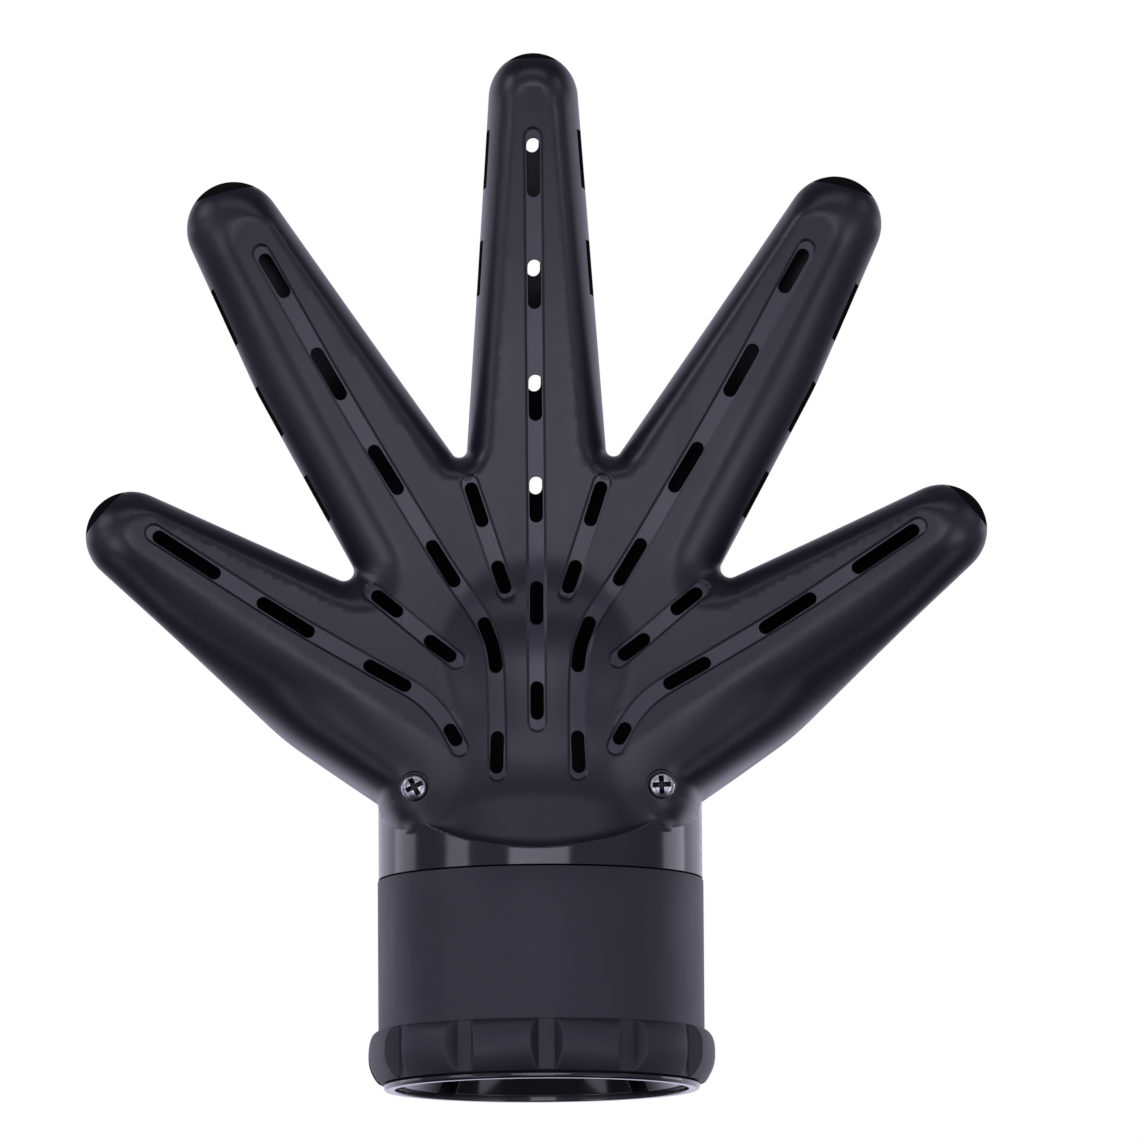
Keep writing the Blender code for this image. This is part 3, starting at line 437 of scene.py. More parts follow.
# =====================================================================  meshing
def new_mesh(name, verts, faces, mats, sharp_deg=30, mat_index=None, weld=1e-6):
    me = bpy.data.meshes.new(name)
    me.from_pydata([tuple(float(c) * MM for c in v) for v in verts], [], [tuple(int(i) for i in f) for f in faces])
    for m in mats:
        me.materials.append(m)
    if mat_index is not None:
        me.polygons.foreach_set("material_index", np.array(mat_index, np.int32))
    me.validate()
    bm = bmesh.new()
    bm.from_mesh(me)
    if weld:
        bmesh.ops.remove_doubles(bm, verts=bm.verts, dist=weld)
    bmesh.ops.recalc_face_normals(bm, faces=bm.faces)
    bm.to_mesh(me)
    bm.free()
    ob = bpy.data.objects.new(name, me)
    bpy.context.scene.collection.objects.link(ob)
    me.shade_smooth()
    me.set_sharp_from_angle(angle=radians(sharp_deg))
    return ob


def triangulate(outline, holes, loops, opens, points):
    P, E = [], []

    def add(loop, closed):
        base = len(P)
        P.extend([tuple(p) for p in loop])
        m = len(loop)
        E.extend([(base + k, base + (k + 1) % m) for k in range(m if closed else m - 1)])

    add(outline, True)
    for h in holes:
        add(h, True)
    for ln in loops:
        add(ln, True)
    for ln in opens:
        add(ln, False)
    for p in points:
        P.append(tuple(p))
    res = delaunay_2d_cdt([Vector(p) for p in P], E, [], 0, 1e-4)
    V = np.array([(v[0], v[1]) for v in res[0]])
    F = np.array([list(f) for f in res[2] if len(f) == 3])
    cen = V[F].mean(1)
    ok = inside(cen, np.array(outline))
    for h in holes:
        ok &= ~inside(cen, np.array(h))
    a, b, c = V[F[:, 0]], V[F[:, 1]], V[F[:, 2]]
    area = 0.5 * ((b[:, 0] - a[:, 0]) * (c[:, 1] - a[:, 1]) - (b[:, 1] - a[:, 1]) * (c[:, 0] - a[:, 0]))
    flip = area < 0
    F[flip] = F[flip][:, ::-1]
    return V, F[ok & (np.abs(area) > 1e-7)]


def grid_points(x0, x1, z0, z1, step):
    g, row, z = [], 0, z0
    while z < z1:
        x = x0 + (0.5 * step if row % 2 else 0)
        while x < x1:
            g.append((x, z))
            x += step
        z += step * 0.866
        row += 1
    return np.array(g)


def spread(cands, fixed, clear):
    """Candidates that keep clear of the constraint points."""
    keep = np.ones(len(cands), bool)
    for lp, closed in fixed:
        lp = np.array(lp)
        keep &= (poly_dist(cands, lp) if closed else path_dist(cands, lp)) > clear
    return cands[keep]


def shell(name, outline, full, holes, loops, opens, points, hfun, hfield, sign, mats, pick, groove=None, sinks=(), rim=0):
    """Thin closed shell between an outer height field and its eroded inner face."""
    V, F = triangulate(outline, holes, loops, opens, points)
    h_out = hfun(V)
    if groove is not None:
        h_out = h_out - groove(V)
    for cx, cz, r, floor in sinks:
        m = (V[:, 0] - cx) ** 2 + (V[:, 1] - cz) ** 2 < r ** 2
        flat = y_part(V[:, 0], V[:, 1]) - GAP / 2 - floor
        h_out = np.where(m, np.minimum(h_out, flat), h_out)
    d = poly_dist(V, full)
    nrm_all = outward_normals(full)
    nearest = np.zeros(len(V), int)
    for s in range(0, len(V), 2000):
        nearest[s:s + 2000] = np.argmin(((V[s:s + 2000, None, :] - full[None]) ** 2).sum(2), axis=1)
    nrm = nrm_all[nearest]
    shift = WALL * np.clip(1 - d / 5.0, 0, 1)
    low = V[:, 1] < 56.0
    nrm = np.where(low[:, None], np.stack([np.sign(V[:, 0]), 0 * V[:, 0]], 1), nrm)
    dx = np.abs(R_NECK - np.abs(V[:, 0]))
    shift = np.where(low, WALL * np.clip(1 - dx / 5.0, 0, 1), shift)
    W = V - nrm * shift[:, None]
    h_in = inner_h(W, hfield, WALL)
    on_cut = low & (dx > 0.05)
    h_in = np.where((d < 0.05) & ~on_cut, 0.0, h_in)
    h_out = np.where((d < 0.02) & ~on_cut, 0.0, h_out)
    h_in = np.minimum(h_in, np.maximum(h_out - 0.6, 0.0))
    off = sign * 0.03                      # the two halves close up at the parting line
    yo = y_part(V[:, 0], V[:, 1]) + off + sign * h_out
    yi = y_part(W[:, 0], W[:, 1]) + off + sign * h_in
    n = len(V)
    verts = np.concatenate([np.stack([V[:, 0], yo, V[:, 1]], 1), np.stack([W[:, 0], yi, W[:, 1]], 1)])
    kind = pick(V[F].mean(1), V, F)
    faces, idx, used = [], [], {}
    for (a, b, c), k in zip(F.tolist(), kind.tolist()):
        faces.append((a, b, c) if sign < 0 else (c, b, a))
        faces.append((n + c, n + b, n + a) if sign < 0 else (n + a, n + b, n + c))
        idx += [k, 0]
        for e in ((a, b), (b, c), (c, a)):
            used[e] = used.get(e, 0) + 1
    for (a, b) in used:
        if (b, a) not in used:
            if sign < 0:
                faces += [(b, a, n + a), (b, n + a, n + b)]
            else:
                faces += [(a, b, n + b), (a, n + b, n + a)]
            idx += [rim, rim]
    return new_mesh(name, verts, faces, mats, 32, idx, 1e-7)


def revolve(name, profile, mats, segs=96, a0=0.0, a1=360.0, sharp=30, face_mat=None):
    whole = abs(a1 - a0) > 359.9
    n = len(profile)
    steps = segs if whole else segs + 1
    verts = []
    for k in range(steps):
        a = radians(a0 + (a1 - a0) * k / segs)
        verts += [(r * cos(a), r * sin(a), z) for r, z in profile]
    faces, idx = [], []
    for k in range(segs):
        b0, b1 = k * n, ((k + 1) % steps) * n
        for i in range(n):
            j = (i + 1) % n
            faces.append((b0 + i, b1 + i, b1 + j, b0 + j))
            idx.append(face_mat[i] if face_mat else 0)
    if not whole:
        faces.append(tuple(range(n)))
        faces.append(tuple(reversed(range((steps - 1) * n, steps * n))))
        idx += [0, 0]
    return new_mesh(name, verts, faces, mats, sharp, idx)


def fillet(profile, radii, n=4):
    """Round the corners of a closed (r, z) profile."""
    out = []
    m = len(profile)
    for i in range(m):
        p, a, b = np.array(profile[i], float), np.array(profile[i - 1], float), np.array(profile[(i + 1) % m], float)
        r = radii[i] if hasattr(radii, '__len__') else radii
        u, v = a - p, b - p
        lu, lv = np.linalg.norm(u), np.linalg.norm(v)
        u, v = u / lu, v / lv
        ang = np.arccos(np.clip(np.dot(u, v), -1, 1))
        t = r / tan(ang / 2) if r > 0 else 0
        t = min(t, 0.45 * lu, 0.45 * lv)
        if t < 1e-4 or ang > 3.05:
            out.append(tuple(p))
            continue
        for k in range(n + 1):
            s = k / n
            q = (1 - s) ** 2 * (p + u * t) + 2 * s * (1 - s) * p + s * s * (p + v * t)
            out.append(tuple(q))
    return out


# =====================================================================  materials
def principled(name, rgb, rough, metal=0.0, spec=0.5):
    m = bpy.data.materials.new(name)
    m.use_nodes = True
    nt = m.node_tree
    b = nt.nodes["Principled BSDF"]
    b.inputs["Base Color"].default_value = (*rgb, 1)
    b.inputs["Roughness"].default_value = rough
    b.inputs["Metallic"].default_value = metal
    b.inputs["Specular IOR Level"].default_value = spec
    return m, nt, b


def noise(nt, scale, detail=2.0, rough=0.5, coord="Object", squash=None):
    tc = nt.nodes.new("ShaderNodeTexCoord")
    nz = nt.nodes.new("ShaderNodeTexNoise")
    nz.inputs["Scale"].default_value = scale
    nz.inputs["Detail"].default_value = detail
    nz.inputs["Roughness"].default_value = rough
    if squash:
        mp = nt.nodes.new("ShaderNodeMapping")
        mp.inputs["Scale"].default_value = squash
        nt.links.new(tc.outputs[coord], mp.inputs["Vector"])
        nt.links.new(mp.outputs["Vector"], nz.inputs["Vector"])
    else:
        nt.links.new(tc.outputs[coord], nz.inputs["Vector"])
    return nz


def ranged(nt, src, lo, hi, to_lo, to_hi):
    mr = nt.nodes.new("ShaderNodeMapRange")
    mr.inputs["From Min"].default_value = lo
    mr.inputs["From Max"].default_value = hi
    mr.inputs["To Min"].default_value = to_lo
    mr.inputs["To Max"].default_value = to_hi
    nt.links.new(src, mr.inputs["Value"])
    return mr.outputs["Result"]


def tinted(nt, b, src, dark, light):
    cr = nt.nodes.new("ShaderNodeValToRGB")
    cr.color_ramp.elements[0].position = 0.3
    cr.color_ramp.elements[0].color = (*dark, 1)
    cr.color_ramp.elements[1].position = 0.72
    cr.color_ramp.elements[1].color = (*light, 1)
    nt.links.new(src, cr.inputs["Fac"])
    nt.links.new(cr.outputs["Color"], b.inputs["Base Color"])


def bumped(nt, b, src, strength, distance):
    bp = nt.nodes.new("ShaderNodeBump")
    bp.inputs["Strength"].default_value = strength
    bp.inputs["Distance"].default_value = distance
    nt.links.new(src, bp.inputs["Height"])
    nt.links.new(bp.outputs["Normal"], b.inputs["Normal"])


def plastic(name, dark, light, rough_lo, rough_hi, grain_scale, grain_strength, grain_depth, spec=0.5, coat=0.0):
    """Moulded black plastic: faint tint drift, uneven polish and the mould's fine grain."""
    m, nt, b = principled(name, light, rough_hi, 0.0, spec)
    drift = noise(nt, 28.0, 3.0, 0.6)
    tinted(nt, b, drift.outputs["Fac"], dark, light)
    smear = noise(nt, 70.0, 4.0, 0.65, squash=(1.0, 1.0, 0.35))
    nt.links.new(ranged(nt, smear.outputs["Fac"], 0.35, 0.68, rough_lo, rough_hi), b.inputs["Roughness"])
    grain = noise(nt, grain_scale, 2.0, 0.55)
    bumped(nt, b, grain.outputs["Fac"], grain_strength, grain_depth)
    if coat > 0:
        b.inputs["Coat Weight"].default_value = coat
        b.inputs["Coat Roughness"].default_value = 0.06
    return m


SATIN = plastic("shell_satin", (0.0118, 0.0108, 0.0165), (0.0152, 0.0140, 0.0208), 0.30, 0.36, 2600.0, 0.10, 0.00002)
POLISH = plastic("shell_polish", (0.0105, 0.0098, 0.0142), (0.0135, 0.0124, 0.0180), 0.11, 0.16, 1500.0, 0.04, 0.00001)
# Painted highlight: the groove faces take a copy of the shell plastic about three times lighter, standing in for the
# brighter reflection on the groove floors
GROOVE_PAINTED_SHEEN = plastic("shell_groove_painted_sheen", (0.0330, 0.0310, 0.0430), (0.0460, 0.0430, 0.0580), 0.26, 0.33, 1800.0, 0.05, 0.00001)
MATTE = plastic("collar_matte", (0.0185, 0.0172, 0.0250), (0.0225, 0.0210, 0.0298), 0.46, 0.54, 3200.0, 0.22, 0.00004)
GLOSS = plastic("gloss_ring", (0.0100, 0.0095, 0.0125), (0.0130, 0.0120, 0.0160), 0.10, 0.16, 900.0, 0.03, 0.00001, coat=0.3)
INNER = plastic("carrier_plastic", (0.0130, 0.0125, 0.0160), (0.0170, 0.0165, 0.0210), 0.38, 0.48, 2200.0, 0.12, 0.00003)


def metal(name, dark, light, rough_lo, rough_hi, scratch):
    m, nt, b = principled(name, light, rough_hi, 1.0)
    tone = noise(nt, 420.0, 4.0, 0.6)
    tinted(nt, b, tone.outputs["Fac"], dark, light)
    nt.links.new(ranged(nt, tone.outputs["Fac"], 0.3, 0.7, rough_lo, rough_hi), b.inputs["Roughness"])
    fine = noise(nt, 2400.0, 2.0, 0.5, squash=(1.0, 0.12, 1.0))
    bumped(nt, b, fine.outputs["Fac"], scratch, 0.00002)
    return m


ZINC = metal("zinc_screw", (0.42, 0.42, 0.44), (0.66, 0.66, 0.68), 0.22, 0.38, 0.25)
SPRING = metal("spring_steel", (0.50, 0.50, 0.51), (0.68, 0.68, 0.70), 0.20, 0.34, 0.2)
# Painted shade: near-black metal for the screws' cross recess, standing in for the shadow inside the recess
RECESS_PAINTED_SHADE = metal("screw_recess_painted_shade", (0.020, 0.020, 0.022), (0.050, 0.050, 0.054), 0.40, 0.55, 0.2)


def rubber():
    m, nt, b = principled("pad_rubber", (0.012, 0.012, 0.013), 0.78)
    dust = noise(nt, 260.0, 5.0, 0.65)
    tinted(nt, b, dust.outputs["Fac"], (0.0100, 0.0100, 0.0110), (0.0200, 0.0198, 0.0205))
    nt.links.new(ranged(nt, dust.outputs["Fac"], 0.3, 0.7, 0.66, 0.86), b.inputs["Roughness"])
    skin = noise(nt, 2000.0, 3.0, 0.6)
    bumped(nt, b, skin.outputs["Fac"], 0.35, 0.00005)
    return m


def fibre():
    m, nt, b = principled("washer_fibre", (0.42, 0.38, 0.30), 0.8)
    strands = noise(nt, 900.0, 5.0, 0.7, squash=(1.0, 0.3, 1.0))
    tinted(nt, b, strands.outputs["Fac"], (0.30, 0.26, 0.19), (0.52, 0.47, 0.37))
    nt.links.new(ranged(nt, strands.outputs["Fac"], 0.3, 0.7, 0.72, 0.9), b.inputs["Roughness"])
    bumped(nt, b, strands.outputs["Fac"], 0.4, 0.00006)
    return m


RUBBER, FIBRE = rubber(), fibre()
# Painted shade: a near-black, dull copy of the shell plastic for the back shell's rim faces (the cut parting rim and
# the slot walls), standing in for the shadow there
RIM_PAINTED_SHADE = plastic("shell_rim_painted_shade", (0.0050, 0.0045, 0.0050), (0.0075, 0.0065, 0.0070), 0.70, 0.82, 2200.0, 0.30, 0.00004, spec=0.12)

# =====================================================================  palm and back shells
RES = (1.4, 5.0)
full = mirrored(belt(HAND + NECK_CORNERS, *RES))
edge_x = [R_NECK * cos(radians(a)) for a in np.arange(2.0, 179.0, 2.0)]
keep = [tuple(p) for p in full if not (abs(p[1] - Z_NECK) < 1e-6 and abs(p[0]) < R_NECK - 0.01)]
at = next(i for i, p in enumerate(keep) if abs(p[1] - Z_NECK) < 1e-6 and p[0] > 0)
full = np.array(keep[:at + 1] + [(x, Z_NECK) for x in edge_x] + keep[at + 1:])

FRONT_FIELD, BACK_FIELD = Field(front_h), Field(back_h)
routes = []
for g in GROOVES_MID:
    routes.append(curve_through(g, 1.5))
for g in GROOVES_SIDE:
    c = curve_through(g, 1.4)
    routes.append(c)
    routes.append(c * np.array([-1, 1]))


def groove_depth(V):
    d = np.full(len(V), 1e9)
    for r in routes:
        d = np.minimum(d, path_dist(V, r))
    return GROOVE_DEPTH * (1 - smooth((d - GROOVE_FLOOR) / (GROOVE_TOP - GROOVE_FLOOR)))


def groove_min(V):
    d = np.full(len(V), 1e9)
    for r in routes:
        d = np.minimum(d, path_dist(V, r))
    return d


def rings_of(outline, distances):
    """Rows of points parallel to the outline."""
    nrm = outward_normals(outline)
    out = []
    for d in distances:
        q = outline - nrm * d
        k = inside(q, outline) & (poly_dist(q, outline) > d * 0.93)
        out.append(q[k])
    return out


front_outline = notch(even(clip_tips(full), 1.5), SIDE_VENTS)
holes = [stadium(x, z, L, SLOT_W, 90) for x, z, L in SLOTS_MID]
for x, z, L, a in SLOTS_SIDE:
    holes.append(stadium(x, z, L, SLOT_W, a))
    holes.append(stadium(-x, z, L, SLOT_W, 180 - a))
bent = curve_through(BENT_SLOT, 1.2)
for s in (1, -1):
    holes.append(capsule(bent * np.array([s, 1]), SLOT_W / 2))
loops, sinks = [], []
for sx in (1, -1):
    holes.append(ring_pts(sx * SCREW_X, SCREW_Z, SCREW_HOLE_R, 24))
    floor = float(y_part(np.array([SCREW_X]), np.array([SCREW_Z]))[0]) - GAP / 2 \
        - float(front_h(np.array([[SCREW_X, SCREW_Z]]))[0]) + SCREW_SINK
    sinks.append((sx * SCREW_X, SCREW_Z, SCREW_PAD_R + 0.05, floor))
    for r in (SCREW_PAD_R, SCREW_PAD_R + 0.1):
        loops.append(ring_pts(sx * SCREW_X, SCREW_Z, r, 40))
SCREW_FLOOR_Y = sinks[0][3]
for r in routes:
    for w in (GROOVE_FLOOR, 0.5 * (GROOVE_FLOOR + GROOVE_TOP), GROOVE_TOP):
        loops.append(capsule(r, w))
plateau_line = [tuple(p) for p in mirrored(belt(PLATEAU, 1.5, 5.0)) if p[1] > 56.5]
split = max(range(len(plateau_line)), key=lambda i: abs(plateau_line[i][0] - plateau_line[i - 1][0]) + abs(plateau_line[i][1] - plateau_line[i - 1][1]))
plateau_line = plateau_line[split:] + plateau_line[:split]
opens = [plateau_line]
# rows across the fall of the two screw lobes onto the neck
low_part = [tuple(p) for p in mirrored(belt(HAND + LOBES, 1.2, 4.0))]
low = np.array([p for p in low_part if p[1] < 62.5 and abs(p[0]) < 34.0])
low = low[np.argsort(low[:, 0])]
inward = np.array([OUT_HAND[:, 0].mean() * 0, 75.0])
dirs = inward - low
dirs = np.stack([-np.sign(low[:, 0]) * 0.35, np.ones(len(low))], 1)
lobe_rows = []
lobe_poly = np.array(low_part)
ln = outward_normals(lobe_poly)
sel = (lobe_poly[:, 1] < 62.5) & (np.abs(lobe_poly[:, 0]) < 33.3) & (np.abs(lobe_poly[:, 0]) > 14.0)
for dist in (-0.35, 0.0, 0.12, 0.3, 0.6, 1.0, 1.6, 2.3):
    q = (lobe_poly - ln * dist)[sel]
    q = q[inside(q, full) & (poly_dist(q, full) > 0.12)]
    lobe_rows.append(q)

# rows along the two creases of the neck: where it turns in above its band, and where the palm rises out of it
crease_rows = []
for off in (-0.5, -0.25, -0.1, 0.0, 0.12, 0.3, 0.6, 1.0, 1.5, 2.1):
    row = []
    for k in range(-80, 81):
        x = R_NECK * sin(radians(k))
        top = 48.2 + (R_NECK - sqrt(R_NECK ** 2 - x * x)) / 1.6
        row.append((x, top + off))
    row = np.array(row)
    crease_rows.append(row[inside(row, full) & (poly_dist(row, full) > 0.15) & (row[:, 1] < 62)])
xs_c = np.arange(-33.6, 33.61, 0.35)
zs_c = np.arange(47.6, 63.0, 0.05)
GX, GZ = np.meshgrid(xs_c, zs_c, indexing='ij')
GP = np.stack([GX.ravel(), GZ.ravel()], 1)
g_neck = neck_h(GP[:, 0], GP[:, 1])
g_out = np.where(inside(GP, OUT_HAND), poly_dist(GP, OUT_HAND), 0.0)
g_in = np.where(inside(GP, PLAT), 0.0, poly_dist(GP, PLAT))
g_t = g_out / np.maximum(g_out + g_in, 1e-6)
g_n = 1.7 + 1.8 * (1 - smooth((GP[:, 1] - 62) / 22))
g_hand = (y_part(GP[:, 0], GP[:, 1]) - y_plateau(GP[:, 0], GP[:, 1])) * (0.88 * (1 - (1 - g_t) ** g_n) ** (1 / g_n) + 0.12 * g_t)
G = (g_hand - g_neck).reshape(len(xs_c), len(zs_c))
rise = []
for i, x in enumerate(xs_c):
    up = np.nonzero((G[i, :-1] < 0) & (G[i, 1:] >= 0))[0]
    if len(up):
        rise.append((x, zs_c[up[0]]))
rise = np.array(rise)
tg = np.gradient(rise, axis=0)
tg /= np.maximum(np.linalg.norm(tg, axis=1)[:, None], 1e-9)
rn = np.stack([-tg[:, 1], tg[:, 0]], 1)
for off in (-1.0, -0.62, -0.32, -0.12, 0.08, 0.28, 0.56, 0.95):
    q = rise + rn * off
    crease_rows.append(q[inside(q, full) & (poly_dist(q, full) > 0.25)])

RING_D = (0.12, 0.3, 0.6, 1.0, 1.5, 2.1, 2.9, 3.8)
neck_rows = np.array([(R_NECK * cos(radians(a)), z) for a in np.arange(2.0, 179.0, 2.0) for z in np.arange(45.4, 61.0, 0.9)])
rows = [r[r[:, 1] > 57.2] for r in rings_of(full, RING_D)]
rows = [r[inside(r, front_outline) & (poly_dist(r, front_outline) > 0.1)] for r in rows]
grid = grid_points(-95, 95, 57.3, 217, 1.35)
grid = grid[inside(grid, front_outline)]
grid = grid[poly_dist(grid, full) > 4.3]
fine = grid_points(-33.6, 33.6, 47.0, 68.0, 0.85)
fine = fine[inside(fine, full) & (poly_dist(fine, full) > 0.8)]
lobe_fine = grid_points(19.5, 33.5, 50.0, 64.0, 0.5)
lobe_fine = np.concatenate([lobe_fine, lobe_fine * np.array([-1, 1])])
lobe_fine = lobe_fine[inside(lobe_fine, np.array(low_part)) & (poly_dist(lobe_fine, np.array(low_part)) > 0.5) & (poly_dist(lobe_fine, full) > 0.8)]
fine = fine[~((np.abs(fine[:, 0]) > 19.3) & inside(fine, np.array(low_part)) & (fine[:, 1] < 64.2))]
fine = np.concatenate([fine, lobe_fine])
crease = np.concatenate([c for c in crease_rows[:10]])
gap_to = np.array([((crease - q) ** 2).sum(1).min() for q in fine])
fine = fine[gap_to > 0.4 ** 2]
fine_top = 48.2 + (R_NECK - np.sqrt(np.maximum(R_NECK ** 2 - fine[:, 0] ** 2, 0.0))) / 1.6
fine = fine[(fine[:, 1] > fine_top - 0.5) | inside(fine, np.array(low_part)) & (fine[:, 1] > 47.3) & (np.abs(fine[:, 0]) > 16)]
grid = grid[(grid[:, 1] > 68.0)]
neck_rows = neck_rows[inside(neck_rows, full) & (poly_dist(neck_rows, full) > 0.02)]
band_top = 48.2 + (R_NECK - np.sqrt(np.maximum(R_NECK ** 2 - neck_rows[:, 0] ** 2, 0.0))) / 1.6
neck_rows = neck_rows[(neck_rows[:, 1] < band_top - 0.6)]
hand_low = np.array(low_part)
neck_rows = neck_rows[(neck_rows[:, 1] < 47.0) | ~inside(neck_rows, hand_low) | (poly_dist(neck_rows, hand_low) < 0.2)]
fixed = [(h, True) for h in holes] + [(l, True) for l in loops] + [(plateau_line, False)]
pts = np.concatenate([spread(np.concatenate(rows), fixed, 0.25), spread(np.concatenate(lobe_rows), fixed, 0.2),
                      spread(grid, fixed, 0.6), spread(fine, fixed, 0.35), spread(crease, fixed, 0.2), neck_rows])
pts = pts[np.unique(np.round(pts / 0.16).astype(int), axis=0, return_index=True)[1]]


def pick_front(cen, V, F):
    kind = np.zeros(len(cen), int)
    # kind 2: groove faces, which get the lighter painted-highlight copy of the shell plastic
    kind[groove_min(cen) < GROOVE_FLOOR + 0.05] = 2
    x, z = cen[:, 0], cen[:, 1]
    inner = inside(cen, OUT_HAND)
    neck = np.sqrt(np.maximum(R_NECK ** 2 - x ** 2, 0.0))
    low = z < 62
    hh = np.zeros(len(cen))
    hh[low] = front_h(cen[low])
    on_neck = low & (z < 48.2 + (R_NECK - neck) / 1.6 + 0.1) & (hh < neck + 0.15)
    kind[on_neck] = 1
    return kind


palm = shell("palm_shell", front_outline, full, holes, loops, opens, pts, front_h, FRONT_FIELD, -1,
             [SATIN, POLISH, GROOVE_PAINTED_SHEEN], pick_front, groove_depth, sinks)
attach(palm, "hand")
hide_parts("front_shell")

back_holes = [stadium(x, z, L, SLOT_W, 90) for x, z, L in BACK_SLOTS_MID]
for x, z, L, a in BACK_SLOTS_SIDE:
    back_holes.append(stadium(x, z, L, SLOT_W, a))
    back_holes.append(stadium(-x, z, L, SLOT_W, 180 - a))
rows = [r[r[:, 1] > 60.9] for r in rings_of(full, RING_D)]
grid = grid_points(-95, 95, 46.5, 217, 1.6)
grid = grid[inside(grid, full) & (poly_dist(grid, full) > 2.0)]
grid = grid[(poly_dist(grid, full) > 4.4) | (grid[:, 1] < 57.2)]
nrows = np.array([(R_NECK * cos(radians(a)), z) for a in np.arange(2.0, 179.0, 2.0) for z in (45.6, 46.6, 48.4, 50.4, 52.4, 54.4, 56.4, 58.0, 59.4)])
nrows = nrows[(nrows[:, 1] < 57.0) | (np.abs(nrows[:, 0]) > 23.0)]
grid = grid[(grid[:, 1] > 57.3) & ((grid[:, 1] > 60.6) | (np.abs(grid[:, 0]) < 22.5))]
nrows = nrows[inside(nrows, full) & (poly_dist(nrows, full) > 0.015) & (nrows[:, 1] > 45.0)]
fixed = [(h, True) for h in back_holes]
bpts = np.concatenate([spread(np.concatenate(rows), fixed, 0.3), spread(grid, fixed, 0.6), nrows])


def pick_back(cen, V, F):
    kind = np.zeros(len(cen), int)
    kind[cen[:, 1] < 52.0] = 1
    return kind


# rim=2 puts the painted-shade material on every rim face of the back shell
back = shell("back_shell", full, full, back_holes, [], [], bpts, back_h, BACK_FIELD, 1, [SATIN, POLISH, RIM_PAINTED_SHADE], pick_back, rim=2)
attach(back, "hand")
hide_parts("rear_shell")

# screw posts moulded inside the back shell: a tapered tube
POST_R, POST_HOLE_R = 3.4, 1.7
for side, sx in (("right", 1), ("left", -1)):
    y_front = SCREW_FLOOR_Y + WALL + 1.2
    y_back = sqrt((R_NECK - 1.0) ** 2 - (SCREW_X + POST_R) ** 2) - 0.3
    prof = fillet([(POST_R - 0.25, y_front), (POST_R, y_back), (POST_HOLE_R, y_back), (POST_HOLE_R, y_front)], [0.3, 0, 0, 0.2], 3)
    verts, faces, segs = [], [], 40
    n = len(prof)
    for k in range(segs):
        a = 2 * pi * k / segs
        verts += [(sx * SCREW_X + r * cos(a), y, SCREW_Z + r * sin(a)) for r, y in prof]
    for k in range(segs):
        b0, b1 = n * k, n * ((k + 1) % segs)
        faces += [(b0 + i, b1 + i, b1 + (i + 1) % n, b0 + (i + 1) % n) for i in range(n)]
    post = new_mesh("screw_post_" + side, verts, faces, [SATIN], 30)
    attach(post, "hand")


# =====================================================================  screws
def bake_modifiers(ob):
    dg = bpy.context.evaluated_depsgraph_get()
    me = bpy.data.meshes.new_from_object(ob.evaluated_get(dg))
    old = ob.data
    ob.modifiers.clear()
    ob.data = me
    bpy.data.meshes.remove(old)


